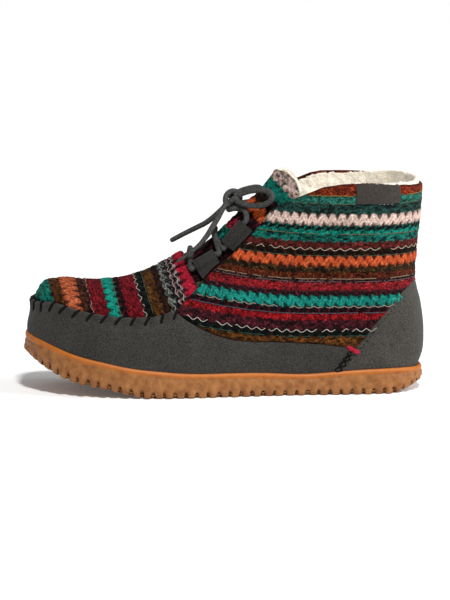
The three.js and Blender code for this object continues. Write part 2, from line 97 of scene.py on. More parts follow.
sideLines = {  # lines seen from the side, as shares of the boot's length and height
    "mocSeam": [(-0.10, 0.43), (0.03, 0.430), (0.064, 0.437), (0.09, 0.428), (0.14, 0.402), (0.19, 0.387),
                (0.24, 0.377), (0.317, 0.379), (0.37, 0.405)],
    "quarterHem": [(0.385, 0.379), (0.415, 0.346), (0.44, 0.318), (0.477, 0.288), (0.515, 0.267), (0.566, 0.257),
                   (0.664, 0.249), (0.74, 0.238), (0.79, 0.227)],
    "counterSeam": [(0.74, 0.0), (0.773, 0.1135), (0.819, 0.218), (0.840, 0.260), (0.864, 0.324), (0.891, 0.378),
                    (0.915, 0.433), (0.940, 0.482), (0.970, 0.519), (1.10, 0.53)],
    "throat": [(0.4226, 0.4965), (0.464, 0.5816), (0.515, 0.655), (0.565, 0.750), (0.595, 0.817), (0.615, 0.865)],
    "collar": [(0.6475, 0.899), (0.683, 0.929), (0.74, 0.977), (0.79, 0.993), (0.84, 1.0), (0.94, 0.984),
               (0.992, 0.974), (1.10, 0.974)],
    "plugEnd": [(0.395, 1.4), (0.395, 0.64)],
    "tongue": [(0.355, 1.4), (0.355, 0.50), (0.42, 0.44), (0.49, 0.55), (0.56, 0.68), (0.63, 0.81), (0.680, 0.90),
               (0.676, 0.945), (0.663, 1.003), (0.640, 1.038), (0.600, 1.060), (0.560, 1.4)],
}
soleSide = np.array([  # along, cup's edge, band's lower edge, bottom, as shares of the length and of toeRim
    (0.00, 1.000, 0.820, 0.680), (0.04, 0.910, 0.731, 0.538), (0.09, 0.780, 0.628, 0.397), (0.14, 0.682, 0.544, 0.282),
    (0.19, 0.613, 0.474, 0.179), (0.26, 0.521, 0.385, 0.056), (0.32, 0.474, 0.356, 0), (0.42, 0.418, 0.321, 0),
    (0.57, 0.408, 0.297, 0), (0.69, 0.368, 0.272, 0), (0.82, 0.421, 0.308, 0), (0.91, 0.436, 0.318, 0),
    (0.96, 0.426, 0.308, 0.092), (1.00, 0.403, 0.274, 0.192),
])
soleOutline = np.array([  # turn from toe to heel, outer and inner half widths as shares of the ball's width
    (0.0, 0, 0), (0.1, 0.210, 0.237), (0.2, 0.384, 0.395), (0.3, 0.479, 0.468), (0.4, 0.512, 0.488),
    (0.5, 0.463, 0.410), (0.6, 0.406, 0.372), (0.7, 0.389, 0.373), (0.8, 0.358, 0.345), (0.9, 0.225, 0.220),
    (1.0, 0, 0),
])


# The smooth curve through a table's column, flat where its values turn back
def smoothValue(keys, values, at):
    at = np.clip(at, keys[0], keys[-1])
    low = np.clip(np.searchsorted(keys, at, side="right") - 1, 0, len(keys) - 2)
    before, after = np.r_[values[0], values[:-1]], np.r_[values[1:], values[-1]]
    slopes = (after - before) / (np.r_[keys[1:], keys[-1]] - np.r_[keys[0], keys[:-1]])
    back = (values - before) * (after - values) <= 0
    back[[0, -1]] = False
    slopes[back] = 0
    span = keys[low + 1] - keys[low]
    t = (at - keys[low]) / span
    value = values[low] * (2 * t**3 - 3 * t**2 + 1) + values[low + 1] * (3 * t**2 - 2 * t**3)
    return value + span * (slopes[low] * (t**3 - 2 * t**2 + t) + slopes[low + 1] * (t**3 - t**2))


def swing(x):
    return boot["swing"] * np.maximum(0, 1 - x / (0.3 * boot["length"])) ** 2


# Points of the last in its own millimetres. Places below 0 close the toe's tip.
def lastPoint(place, turn):
    place, turn = np.broadcast_arrays(np.asarray(place, float), np.asarray(turn, float))
    keys = np.arange(len(lastSections), dtype=float)
    at = {n: smoothValue(keys, lastSections[:, i], place) for i, n in enumerate(sectionNames)}
    forward, aside = np.cos(np.pi * turn), np.sin(np.pi * turn)
    power = 2 / np.where(forward > 0, at["frontPower"], at["backPower"])
    reach = np.abs(forward) ** power
    share = np.where(forward > 0, at["widest"] + (1 - at["widest"]) * reach, at["widest"] * (1 - reach))
    shrink = np.clip(1 + place, 0, 1)
    share = at["widest"] + (share - at["widest"]) * shrink
    x = boot["length"] * (at["backAlong"] + (at["frontAlong"] - at["backAlong"]) * share)
    z = boot["height"] * (at["backUp"] + (at["frontUp"] - at["backUp"]) * share)
    side = np.where(aside > 0, -at["outer"], at["inner"])
    y = swing(x) + side * boot["ball"] * np.abs(aside) ** power * shrink
    return np.stack([x - boot["noseBulge"] * (1 - shrink**2), y, z], axis=-1)


def lastNormal(place, turn, step=0.02):
    ahead = lastPoint(np.minimum(18, place + step), turn) - lastPoint(np.maximum(0, place - step), turn)
    normal = np.cross(lastPoint(place, turn + step) - lastPoint(place, turn - step), ahead)
    return normal / np.linalg.norm(normal, axis=-1, keepdims=True)


def onLast(place, turn, lift):
    return lastPoint(place, turn) + lift * lastNormal(place, turn)


# From the shoe's own millimetres to metres in the row frame
def rowFrame(points):
    return (np.asarray(points) - np.array([*boot["middle"], 0])) / 1000


def sideLine(name, dx=0.0, dz=0.0, rows=slice(None)):
    return [(x * boot["length"] + dx, z * boot["height"] + dz) for x, z in sideLines[name][rows]]


def soleHeight(column, x):
    return boot["toeRim"] * smoothValue(soleSide[:, 0], soleSide[:, column], np.asarray(x) / boot["length"])


# The sole's outline in plan: turn 0 at the toe, 1 at the heel on the outer side, -1 on the inner side
def outlineEdge(turn):
    half = np.abs(turn)
    x = boot["length"] * (1 - np.cos(np.pi * half)) / 2
    width = np.where(turn < 0, smoothValue(soleOutline[:, 0], soleOutline[:, 2], half),
                     -smoothValue(soleOutline[:, 0], soleOutline[:, 1], half)) * boot["ball"]
    return np.stack([x, swing(x) + width], axis=-1)


# How far points lie inside an outline that is seen from the side, negative outside
def inside(polygon, x, z):
    corners = np.array(polygon, float)
    a, b = corners, np.roll(corners, -1, axis=0)
    best = np.full(x.shape, 1e9)
    odd = np.zeros(x.shape, bool)
    for (ax, az), (bx, bz) in zip(a, b):
        ex, ez = bx - ax, bz - az
        t = np.clip(((x - ax) * ex + (z - az) * ez) / max(ex * ex + ez * ez, 1e-9), 0, 1)
        best = np.minimum(best, np.hypot(x - ax - t * ex, z - az - t * ez))
        if az != bz:
            crosses = (az > z) != (bz > z)
            odd ^= crosses & (x < ax + (z - az) * ex / ez)
    return np.where(odd, best, -best)


# A line a little above the cup's floor, seen from the side
def cupLine(above, first, last):
    return [(x, float(soleHeight(1, np.clip(x, 0, boot["length"]))) - boot["cup"] + above)
            for x in np.linspace(first, last, 24)]


farLeft, farRight, farUp = -27, 292, 197
front = [(0.37 * 265, 0.405 * 141), (0.4226 * 265, 0.4965 * 141)]  # of the quarter
innerCollar = [(171.6, 129.5), (176, 134), (182, 137.5), (191, 140.3), (198, 141.2), (215, 140.7), (232, 139.8),
               (247, 138.5), (263, 137.3), (292, 137.3)]
tagField = [(216.6, 126), (248.7, 126), (248.7, 160), (216.6, 160)]
fields = {
    "quarter": [front[0], *sideLine("throat"), *sideLine("collar"), *sideLine("counterSeam", 3.5, -3.5)[:1:-1],
                *sideLine("quarterHem")[::-1]],
    "quarterInner": [front[0], *sideLine("throat"), *innerCollar, *sideLine("counterSeam", 3.5, -3.5)[:1:-1],
                     *sideLine("quarterHem")[::-1]],
    "plug": [*sideLine("mocSeam", 0, -2), (front[0][0] + 3, front[0][1] - 2), (front[1][0] + 3, front[1][1]),
             sideLine("plugEnd")[1], (sideLine("plugEnd")[0][0], farUp), (farLeft, farUp)],
    "vamp": [*sideLine("mocSeam"), *sideLine("quarterHem", 0, 4), *sideLine("counterSeam", 3, 0)[2:0:-1],
             *cupLine(1.5, 204, farLeft)],
    "counter": [*sideLine("counterSeam")[1:], *cupLine(1.5, farRight, 201)],
    "tongue": sideLine("tongue"),
    "lining": [*cupLine(3.0, farRight, farLeft), (farLeft, farUp), *sideLine("plugEnd"), *sideLine("throat", 1.5, -1),
               *sideLine("collar", 0, -0.6)[:-2], (263, 138.5), (292, 138.5)],
    "liningInner": [*cupLine(3.0, farRight, farLeft), (farLeft, farUp), *sideLine("plugEnd"),
                    *sideLine("throat", 1.5, -1),
                    *[(x, z - 2 + 3.2 * min(1, max(0, (x - 222) / 16))) for x, z in innerCollar]],
}


# Meshes
def freshObject(name, bm):
    mesh = bpy.data.meshes.new(name)
    bm.to_mesh(mesh)
    bm.free()
    piece = bpy.data.objects.new(name, mesh)
    bpy.context.scene.collection.objects.link(piece)
    for face in mesh.polygons:
        face.use_smooth = True
    return piece


# A grid of across x along cells, laid by shape(a, b), which gives points and two cloth measures
def layCloth(across, along, shape):
    bm = bmesh.new()
    bmesh.ops.create_grid(bm, x_segments=across, y_segments=along, size=1)
    bm.verts.ensure_lookup_table()
    flat = np.array([v.co[:2] for v in bm.verts])
    cells = np.rint((flat + 1) / 2 * (across, along)).astype(int)
    points, cloth = shape(cells[:, 0], cells[:, 1])
    layer = bm.verts.layers.float_vector.new("cloth")
    for vert, point, measure in zip(bm.verts, points, cloth):
        vert.co = point
        vert[layer] = (measure[0], measure[1], 0)
    return bm


# Cuts a mesh in the shoe's millimetres along an outline seen from the side and drops what lies outside
def cutAlong(bm, polygon, inner=None):
    def depthOf(spots):
        depth = inside(polygon, spots[:, 0], spots[:, 2])
        return depth if inner is None else np.where(spots[:, 1] > 0, inside(inner, spots[:, 0], spots[:, 2]), depth)

    bm.verts.index_update()
    depth = depthOf(np.array([v.co for v in bm.verts]))
    near = np.abs(depth) < 0.06
    depth[near] = 0
    crossing, shares = [], {}
    for edge in bm.edges:
        one, two = depth[edge.verts[0].index], depth[edge.verts[1].index]
        if one * two < 0:
            crossing.append(edge)
            shares[edge] = one / (one - two)
    before = set(np.flatnonzero(near))
    made = bmesh.ops.bisect_edges(bm, edges=crossing, cuts=1, edge_percents=shares)["geom_split"]
    onLine = [v for v in bm.verts if v.index in before] + [e for e in made if isinstance(e, bmesh.types.BMVert)]
    bmesh.ops.connect_verts(bm, verts=list(set(onLine)))
    outside = depthOf(np.array([f.calc_center_median() for f in bm.faces])) < 0
    bmesh.ops.delete(bm, geom=[f for f, out in zip(list(bm.faces), outside) if out], context="FACES")
    return bm


# Places and turns of a cloth whose rows keep one coordinate and whose columns are counted along each row
def laidRows(coordinate, rows, across, middleTurn, halfTurn, places):
    turns = middleTurn + np.linspace(-halfTurn, halfTurn, 901)
    steps = np.linspace(*places, 400)
    table = np.maximum.accumulate(coordinate(lastPoint(steps[:, None], turns[None, :])), axis=0)
    place = np.stack([np.interp(rows, table[:, i], steps) for i in range(len(turns))], axis=1)
    points = lastPoint(place, turns[None, :])
    gaps = np.linalg.norm(np.diff(points, axis=1), axis=2)
    run = np.concatenate([np.zeros((len(rows), 1)), np.cumsum(gaps, axis=1)], axis=1)
    middle = len(turns) // 2
    run -= run[:, middle:middle + 1]
    turnAt = np.stack([np.interp(across, run[i], turns) for i in range(len(rows))])
    placeAt = np.stack([np.interp(turnAt[i], turns, place[i]) for i in range(len(rows))])
    return placeAt, turnAt


def droop(x):
    return 8.6 * (np.maximum(0, 190 - x) / 78) ** 2.1


def shaftCoordinate(points):
    return points[..., 2] - droop(points[..., 0])


def finish(piece, node, material):
    piece.data.materials.append(material)
    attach(piece, "root")
    if node:
        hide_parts(*([node] if isinstance(node, str) else node))
    return piece


# Turns a shell's faces away from the last's middle line
def outward(bm):
    bm.normal_update()
    vote = 0
    for face in list(bm.faces)[::7]:
        middle = face.calc_center_median()
        vote += face.normal.dot(middle - Vector((min(max(middle.x, 40), 215), 0, 60 if middle.x < 150 else middle.z)))
    if vote < 0:
        bmesh.ops.reverse_faces(bm, faces=bm.faces)
    return bm


# A sheet whose rows are laid round the last, cut to its outline
def laidSheet(cloth, polygon):
    placeAt, turnAt = laidRows(**cloth)
    points = lastPoint(placeAt, turnAt)
    rows, across = cloth["rows"], cloth["across"]
    bm = layCloth(len(across) - 1, len(rows) - 1, lambda i, j: (points[j, i], np.stack([across[i], rows[j]], axis=1)))
    cutAlong(bm, polygon)
    return outward(bm)


# Moves points near the cup sole's rim inwards until they have room from its outline
def heldIn(spots, room):
    outline = [tuple(p) for p in outlineEdge(np.linspace(-1, 1, 121)[:-1])]
    above = np.maximum(0, spots[:, 2] - soleHeight(1, np.clip(spots[:, 0], 0, boot["length"])))
    need = room - 0.9 * above
    x, y = spots[:, 0], spots[:, 1]
    depth = inside(outline, x, y)
    step = 0.2
    gradient = np.stack([inside(outline, x + step, y) - inside(outline, x - step, y),
                         inside(outline, x, y + step) - inside(outline, x, y - step)], axis=1) / (2 * step)
    gradient /= np.maximum(0.3, np.linalg.norm(gradient, axis=1))[:, None]
    held = spots.copy()
    held[:, :2] += gradient * np.maximum(0, need - depth)[:, None]
    return held


# Value noise on a fixed lattice, for relief and yarn flecks
lattice = draw.random((256, 256))


def noise2(x, y, seed=0):
    x, y = x + 17.3 * seed, y + 31.7 * seed
    ix, iy = np.floor(x).astype(int), np.floor(y).astype(int)
    fx, fy = x - ix, y - iy
    fx, fy = fx * fx * (3 - 2 * fx), fy * fy * (3 - 2 * fy)
    a, b = lattice[ix % 256, iy % 256], lattice[(ix + 1) % 256, iy % 256]
    c, d = lattice[ix % 256, (iy + 1) % 256], lattice[(ix + 1) % 256, (iy + 1) % 256]
    return (a * (1 - fx) + b * fx) * (1 - fy) + (c * (1 - fx) + d * fx) * fy


# An sRGB hex colour as linear light
def linear(code):
    values = [int(code[i:i + 2], 16) / 255 for i in (1, 3, 5)]
    return np.array([v / 12.92 if v <= 0.04045 else ((v + 0.055) / 1.055) ** 2.4 for v in values])


# Materials
def blank(name):
    material = bpy.data.materials.new(name)
    material.use_nodes = True
    material.node_tree.nodes.clear()
    return material


def node(material, kind, inputs=(), **settings):
    made = material.node_tree.nodes.new(kind)
    for name, value in settings.items():
        setattr(made, name, value)
    for name, value in dict(inputs).items():
        if isinstance(value, bpy.types.NodeSocket):
            material.node_tree.links.new(value, made.inputs[name])
        else:
            made.inputs[name].default_value = value
    return made


def rgba(code):
    return (*linear(code), 1)


def ramp(material, fac, stops):
    made = node(material, "ShaderNodeValToRGB", {"Fac": fac})
    elements = made.color_ramp.elements
    while len(elements) < len(stops):
        elements.new(0.5)
    for element, (place, color) in zip(elements, stops):
        element.position = place
        element.color = rgba(color) if isinstance(color, str) else (color, color, color, 1)
    return made.outputs["Color"]


def surface(material, inputs):
    shader = node(material, "ShaderNodeBsdfPrincipled", inputs)
    node(material, "ShaderNodeOutputMaterial", {"Surface": shader.outputs["BSDF"]})
    return material


# Wool and acrylic yarn: matt, hairy, each strand twisted
def woolKnit():
    m = blank("wool_knit")
    spot = node(m, "ShaderNodeTexCoord").outputs["Object"]
    yarn = node(m, "ShaderNodeAttribute", attribute_name="yarn").outputs["Color"]
    hairs = node(m, "ShaderNodeTexNoise", {"Vector": spot, "Scale": 1900.0, "Detail": 3.0, "Roughness": 0.7})
    shade = ramp(m, hairs.outputs["Fac"], [(0.30, 0.33), (0.52, 0.92), (0.72, 1.6)])
    color = node(m, "ShaderNodeMix", {"Factor": 1.0, "A": yarn, "B": shade}, data_type="RGBA", blend_type="MULTIPLY")
    bump = node(m, "ShaderNodeBump", {"Height": hairs.outputs["Fac"], "Strength": 0.6, "Distance": 0.0006})
    return surface(m, {"Base Color": color.outputs["Result"], "Roughness": 0.95, "Normal": bump.outputs["Normal"],
                       "Sheen Weight": 0.02, "Sheen Roughness": 0.5, "Specular IOR Level": 0.06})


# Suede: buffed split leather with a short nap, so it is matt and mottled
def suedeHide(name, dark, light):
    m = blank(name)
    spot = node(m, "ShaderNodeTexCoord").outputs["Object"]
    nap = node(m, "ShaderNodeTexNoise", {"Vector": spot, "Scale": 1100.0, "Detail": 4.0, "Roughness": 0.75})
    patch = node(m, "ShaderNodeTexNoise", {"Vector": spot, "Scale": 60.0, "Detail": 5.0, "Roughness": 0.65})
    slight = node(m, "ShaderNodeMath", {0: patch.outputs["Fac"], 1: 0.16}, operation="MULTIPLY")
    most = node(m, "ShaderNodeMath", {0: nap.outputs["Fac"], 1: 0.84}, operation="MULTIPLY")
    half = node(m, "ShaderNodeMath", {0: slight.outputs[0], 1: most.outputs[0]}, operation="ADD")
    color = ramp(m, half.outputs[0], [(0.40, dark), (0.60, light)])
    bump = node(m, "ShaderNodeBump", {"Height": nap.outputs["Fac"], "Strength": 0.5, "Distance": 0.0004})
    return surface(m, {"Base Color": color, "Roughness": 0.92, "Normal": bump.outputs["Normal"],
                       "Sheen Weight": 0.06, "Sheen Roughness": 0.6, "Specular IOR Level": 0.15})


# Moulded gum rubber: slightly see-through, so thick parts are deeper and browner
def gumRubber():
    m = blank("gum_rubber")
    spot = node(m, "ShaderNodeTexCoord").outputs["Object"]
    lug = node(m, "ShaderNodeAttribute", attribute_name="lug").outputs["Fac"]
    cloud = node(m, "ShaderNodeTexNoise", {"Vector": spot, "Scale": 190.0, "Detail": 5.0, "Roughness": 0.65})
    band = ramp(m, cloud.outputs["Fac"], [(0.3, "#9c5410"), (0.7, "#ab6019")])
    lugs = ramp(m, cloud.outputs["Fac"], [(0.32, "#74431d"), (0.5, "#87562a"), (0.68, "#966435")])
    color = node(m, "ShaderNodeMix", {"Factor": lug, "A": band, "B": lugs}, data_type="RGBA")
    bump = node(m, "ShaderNodeBump", {"Height": cloud.outputs["Fac"], "Strength": 0.25, "Distance": 0.0006})
    return surface(m, {"Base Color": color.outputs["Result"], "Roughness": 0.5, "Normal": bump.outputs["Normal"],
                       "Specular IOR Level": 0.3, "Subsurface Weight": 0.12, "Subsurface Scale": 0.003,
                       "Subsurface Radius": (1.0, 0.5, 0.2)})


# Shearling pile: cream, matt, in small curls
def fleecePile(name, dark, light):
    m = blank(name)
    spot = node(m, "ShaderNodeTexCoord").outputs["Object"]
    curls = node(m, "ShaderNodeTexNoise", {"Vector": spot, "Scale": 420.0, "Detail": 5.0, "Roughness": 0.7,
                                           "Distortion": 1.2})
    color = ramp(m, curls.outputs["Fac"], [(0.32, dark), (0.6, light)])
    bump = node(m, "ShaderNodeBump", {"Height": curls.outputs["Fac"], "Strength": 0.7, "Distance": 0.0015})
    return surface(m, {"Base Color": color, "Roughness": 1.0, "Normal": bump.outputs["Normal"],
                       "Sheen Weight": 0.3, "Sheen Roughness": 0.5, "Specular IOR Level": 0.1})


# Oiled round leather lace: dull grey with fine creases along it
def laceLeather():
    m = blank("lace_leather")
    spot = node(m, "ShaderNodeTexCoord").outputs["Object"]
    grain = node(m, "ShaderNodeTexNoise", {"Vector": spot, "Scale": 900.0, "Detail": 5.0, "Roughness": 0.7})
    color = ramp(m, grain.outputs["Fac"], [(0.35, "#232322"), (0.5, "#353634"), (0.7, "#55544f")])
    bump = node(m, "ShaderNodeBump", {"Height": grain.outputs["Fac"], "Strength": 0.5, "Distance": 0.0005})
    return surface(m, {"Base Color": color, "Roughness": 0.78, "Normal": bump.outputs["Normal"],
                       "Specular IOR Level": 0.3})


# Thick waxed thread: a low gloss and a twist
def waxedThread(name, dark, light):
    m = blank(name)
    spot = node(m, "ShaderNodeTexCoord").outputs["Object"]
    twist = node(m, "ShaderNodeTexNoise", {"Vector": spot, "Scale": 2200.0, "Detail": 2.0})
    color = ramp(m, twist.outputs["Fac"], [(0.35, dark), (0.65, light)])
    return surface(m, {"Base Color": color, "Roughness": 0.9, "Specular IOR Level": 0.08})


# Vamp and counter are the same suede: the vamp's copy is darker as painted shade, and the counter's is lighter as
# painted light from the heel's side
shadedVampSuede = suedeHide("vamp_suede", "#1b1a18", "#3a3834")
litCounterSuede = suedeHide("counter_suede_lit", "#211f1c", "#45423d")
tabHide = suedeHide("tab_suede", "#151412", "#2e2c29")
knitYarn = woolKnit()
gumSole = gumRubber()
creamPile = fleecePile("cream_fleece", "#d6c9b2", "#f4ecdc")
cordHide = laceLeather()
blackThread = waxedThread("black_thread", "#060606", "#141211")
greyThread = waxedThread("grey_thread", "#5e5c5c", "#8a8888")
redThread = waxedThread("red_thread", "#7c1222", "#b8263c")
print("materials made")

# Bow and lacing: the same routes as the part's source
lace = {"diameter": 3.8, "clearance": 0.3, "tabLeather": 1.5, "knotPlace": (9.9, 0.01, 4.8)}
eyeRadius = lace["diameter"] / 2 + 2 * lace["clearance"]
laceInTab = -boot["wall"] + eyeRadius + lace["tabLeather"]
laceOnTongue = -boot["wall"] + lace["diameter"] / 2 + 3 * lace["clearance"]
tabs = {"lower": (7.40, 0.175, 8.26, 0.170), "upper": (8.80, 0.165, 9.78, 0.145)}
knotMiddle = onLast(*lace["knotPlace"])
bow = {
    "lace_loop_outer": [
        (3, -7, 1), (7, -9, -0.6), (13, -12, -1.6), (19, -15.5, -0.8), (23.6, -18.3, 1.6), (25.6, -19.5, 4.8),
        (24.6, -19.3, 7.8), (21.6, -17.5, 9.2), (16.8, -14.5, 9.2), (11, -11, 8), (7, -8.5, 6.4), (2, -6, 4.6)],
    "lace_loop_inner": [
        (1.6, 5.8, 3.2), (6, 10, 5.2), (11, 14.5, 6.3), (17, 19.5, 6.6), (20.6, 22.5, 5.4), (22, 24, 2.8),
        (20.4, 23.5, 0), (15, 20, -2.4), (9.5, 15, -3), (5.5, 11, -2.2), (2.4, 6.8, -0.6)],
    "lace_end_outer": [
        (-4, -6, -1), (-6.8, -8.5, -4.6), (-9.5, -10.5, -9.4), (-13.5, -13, -15.5), (-16.8, -14.5, -20.5),
        (-21.4, -15.8, -26), (-26, -16.5, -30), (-31, -17, -33.8), (-37.2, -17.5, -38)],
    "lace_end_inner": [
        (-4.4, 2.6, -4), (-11.5, 5.5, -11), (-17, 7.5, -15.5), (-22.5, 9, -18.5), (-31, 11, -23), (-40, 12.5, -28)],
}


laceTapers = {"lace_end_outer": (0.4, 0.5), "lace_end_inner": (0.1, 0.84)}  # from a share of the length, to a width


# Evenly spaced points on a smooth curve through given ones
def smoothPath(points, count):
    points = np.asarray(points, float)
    ends = np.vstack([2 * points[0] - points[1], points, 2 * points[-1] - points[-2]])
    fine = []
    for p0, p1, p2, p3 in zip(ends, ends[1:], ends[2:], ends[3:]):
        for t in np.linspace(0, 1, 24, endpoint=False):
            fine.append(0.5 * (2 * p1 + (p2 - p0) * t + (2 * p0 - 5 * p1 + 4 * p2 - p3) * t**2
                               + (3 * p1 - p0 - 3 * p2 + p3) * t**3))
    fine = np.array([*fine, points[-1]])
    run = np.r_[0, np.cumsum(np.linalg.norm(np.diff(fine, axis=0), axis=1))]
    return np.stack([np.interp(np.linspace(0, run[-1], count), run, fine[:, i]) for i in range(3)], axis=1), run[-1]


# A curve object with one open spline for each path, in row-frame metres
def cordCurve(name, paths, radius, sides=3, taper=(0, 1)):
    data = bpy.data.curves.new(name, "CURVE")
    data.dimensions = "3D"
    data.bevel_depth = radius
    data.bevel_resolution = sides
    data.use_fill_caps = True
    for path in paths:
        spline = data.splines.new("POLY")
        spline.points.add(len(path) - 1)
        shares = np.clip((np.linspace(0, 1, len(path)) - taper[0]) / (1 - taper[0]), 0, 1)
        for point, spot, share in zip(spline.points, path, shares):
            point.co = (*spot, 1)
            point.radius = 1 + (taper[1] - 1) * share
        if taper[1] < 1:
            spline.points[-1].radius *= 0.6
    piece = bpy.data.objects.new(name, data)
    bpy.context.scene.collection.objects.link(piece)
    return piece


# A curve piece as a mesh
def meshOf(piece):
    mesh = bpy.data.meshes.new_from_object(piece.evaluated_get(bpy.context.evaluated_depsgraph_get()))
    name = piece.name
    bpy.data.objects.remove(piece)
    mesh.name = name
    made = bpy.data.objects.new(name, mesh)
    bpy.context.scene.collection.objects.link(made)
    for face in mesh.polygons:
        face.use_smooth = True
    return made


def makeBow():
    for name, steps in bow.items():
        path, length = smoothPath([knotMiddle + np.array(s) for s in steps], 40)
        spots = rowFrame(path)
        piece = cordCurve(name + "_leather", [spots], lace["diameter"] / 2000, 4, laceTapers.get(name, (0, 1)))
        piece.data.materials.append(cordHide)
        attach(piece, "root")
        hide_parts(name)


def throughTab(tab, side):
    low, high = (onLast(tabs[tab][i], side * tabs[tab][i + 1], laceInTab) for i in (0, 2))
    past = 0.8 * lace["diameter"] / np.linalg.norm(high - low)
    return [low + (high - low) * share for share in (-past, 0, 0.5, 1, 1 + past)]


def makeLacing():
    paths = []
    for side in (1, -1):
        points = [
            onLast(7.4, 0, laceOnTongue - 2), onLast(7.4, 0.07 * side, laceOnTongue - 1), *throughTab("lower", side),
            onLast(8.58, 0.08 * side, laceInTab), onLast(8.68, 0, laceOnTongue + lace["clearance"] + side * 0.5),
            onLast(8.56, -0.09 * side, laceInTab), *throughTab("upper", -side),
            knotMiddle + np.array([8.5, 8.5 * side, -5.5]), knotMiddle + np.array([4.2, 3.4 * side, -4.3]),
        ]
        path, _ = smoothPath(points, 120)
        paths.append(rowFrame(path))
    piece = meshOf(cordCurve("lace_run", paths, lace["diameter"] / 2000, 4))
    finish(piece, "lace_crossings", cordHide)
    wraps = [
        [(-3.2, -6.4, -2.6), (-4.4, -5.6, 1.4), (-3.2, -4.4, 5.2), (0.2, -3.6, 7.2), (4.0, -3.4, 6.2), (5.4, -2.0, 3.0),
         (4.5, 1.0, -1.0)],
        [(4.2, -6.0, 2.9), (0.8, -7.2, 2.2), (-2.4, -5.4, -0.4), (-3.4, 0.5, -3.4), (-0.5, 5.2, -2.6), (3.4, 5.4, 1.6)],
        [(5.0, -4.0, -4.4), (1.0, -6.4, -4.0), (-2.0, -3.0, -5.2), (0.0, 3.0, -5.4), (4.0, 4.6, -3.6)],
        [(-2.0, -2.5, 3.6), (0.6, 0.6, 5.6), (2.6, 4.4, 4.2), (3.0, 6.2, 1.0)],
    ]
    paths = [rowFrame(smoothPath([knotMiddle + np.array(s) for s in wrap], 40)[0]) for wrap in wraps]
    knot = meshOf(cordCurve("lace_knot_wraps", paths, lace["diameter"] / 2000, 4))
    finish(knot, "lace_knot", cordHide)


makeBow()
makeLacing()
print("laces made")

knit = {
    "wall": 0.0022, "tongueWall": 0.0016, "yarnRadius": 0.00027,  # in metres
    "yarnLift": 0.75, "plugYarnLift": -0.85, "plugSink": 1.5, "plugHem": 1.2,  # in mm from the last's surface
    "tongueSink": 3.6, "tagSink": 1.3,
    "finest": 0.54, "quickest": 0.8,
}

# Stripes from the collar down, as height in mm, how it is knitted, and three colours: the main yarn; a dark colour,
# which is black yarn in blobs rows and elsewhere painted shade between raised strands mixed with the yarn's darker
# mottle; and the flecks
shaftTop = 141.5
stitchPitch = 6.6
shaftStripes = [
    (9.3, "flat", "#7e2a17", "#27100b", "#b4512a"),
    (5.4, "flat", "#2a6f60", "#10241f", "#4a9480"),
    (6.7, "specks", "#203c36", "#0c0e0d", "#2b5a50"),
    (7.7, "loops", "#d6b8ab", "#1d1213", "#e8d3c8"),
    (3.0, "blobs", "#0c6f62", "#08080b", "#13917c"),
    (2.6, "flat", "#0f7f6d", "#062a26", "#29a08b"),
    (5.0, "specks", "#0e5f53", "#061a1b", "#2f8576"),
    (5.0, "flat", "#4c2018", "#21100c", "#8c2a34"),
    (4.2, "blobs", "#33250f", "#080605", "#57301c"),
    (7.2, "loops", "#b74b28", "#1d0f0a", "#cf6a3a"),
    (3.9, "specks", "#2b1d0e", "#0b0806", "#5c4220"),
    (3.8, "flat", "#51200f", "#240f0a", "#7c3a20"),
    (3.0, "flat", "#2c1714", "#120a0a", "#7a5c58"),
    (4.8, "flat", "#8e1b22", "#33100f", "#b5303a"),
    (3.5, "blobs", "#5c2230", "#140d0f", "#7a3038"),
    (7.5, "loops", "#12766a", "#0b1c1a", "#2c998a"),
    (4.1, "blobs", "#4c101c", "#08070a", "#6a1c28"),
    (4.3, "flat", "#8e1119", "#37080b", "#bb2c2a"),
    (6.8, "specks", "#35121a", "#120909", "#6a242a"),
    (4.1, "blobs", "#17211c", "#060606", "#22352c"),
    (16.0, "specks", "#54300f", "#190e07", "#7d4c22"),
]
shaftThreads = [  # mm down from the first stripe, zigzag height in mm, yarn
    (9.2, 0.0, "#8a6a30"), (14.7, 0.0, "#4e4c38"), (34.6, 0.0, "#5f5a40"), (44.8, 1.7, "#a59684"),
    (48.8, 0.0, "#34483c"), (64.0, 0.0, "#8a735c"), (65.9, 0.0, "#5e484c"), (82.7, 1.2, "#9a8074"),
    (86.6, 0.0, "#434c52"), (98.3, 1.9, "#aaa198"), (101.9, 0.0, "#0f463e"),
]
plugStart = 2.2
plugStripes = [  # from the toe back
    (13.4, "specks", "#0f6f61", "#071f1d", "#1f8f79"),
    (7.0, "specks", "#47260f", "#150b07", "#70461f"),
    (11.3, "loops", "#a24f30", "#24120c", "#c9734a"),
    (6.8, "specks", "#3a1712", "#0c0806", "#5c3e26"),
    (10.2, "flat", "#640f18", "#180508", "#8e1f28"),
    (7.6, "loops", "#0b8270", "#051a18", "#1f9a84"),
    (4.0, "blobs", "#4d1418", "#080606", "#6a2428"),
    (9.4, "flat", "#74101b", "#1b0509", "#a0242c"),
    (5.0, "blobs", "#14261f", "#060707", "#24463a"),
    (5.9, "specks", "#4c2c10", "#150b06", "#6e461e"),
    (4.4, "specks", "#231408", "#0a0605", "#3a1c18"),
    (2.2, "specks", "#5c6660", "#161313", "#9a948e"),
    (3.0, "blobs", "#7d8a82", "#0d0b0d", "#a8a49c"),
    (5.2, "blobs", "#8e6e70", "#0b0708", "#b0989a"),
    (8.8, "loops", "#94152a", "#22070d", "#bd2a3a"),
    (30.0, "specks", "#2c0f16", "#0c0608", "#4d1a22"),
]
plugTop = plugStart + sum(row[0] for row in plugStripes)
plugThreads = [  # mm from the first stripe, zigzag height in mm, yarn
    (38.2, 1.2, "#857466"), (55.8, 0.0, "#5e463e"), (69.9, 1.8, "#a2988c"), (74.6, 0.0, "#34483c"),
    (86.5, 1.4, "#8c8880"), (90.5, 1.6, "#9a8482"), (93.5, 1.4, "#a49c94"),
]


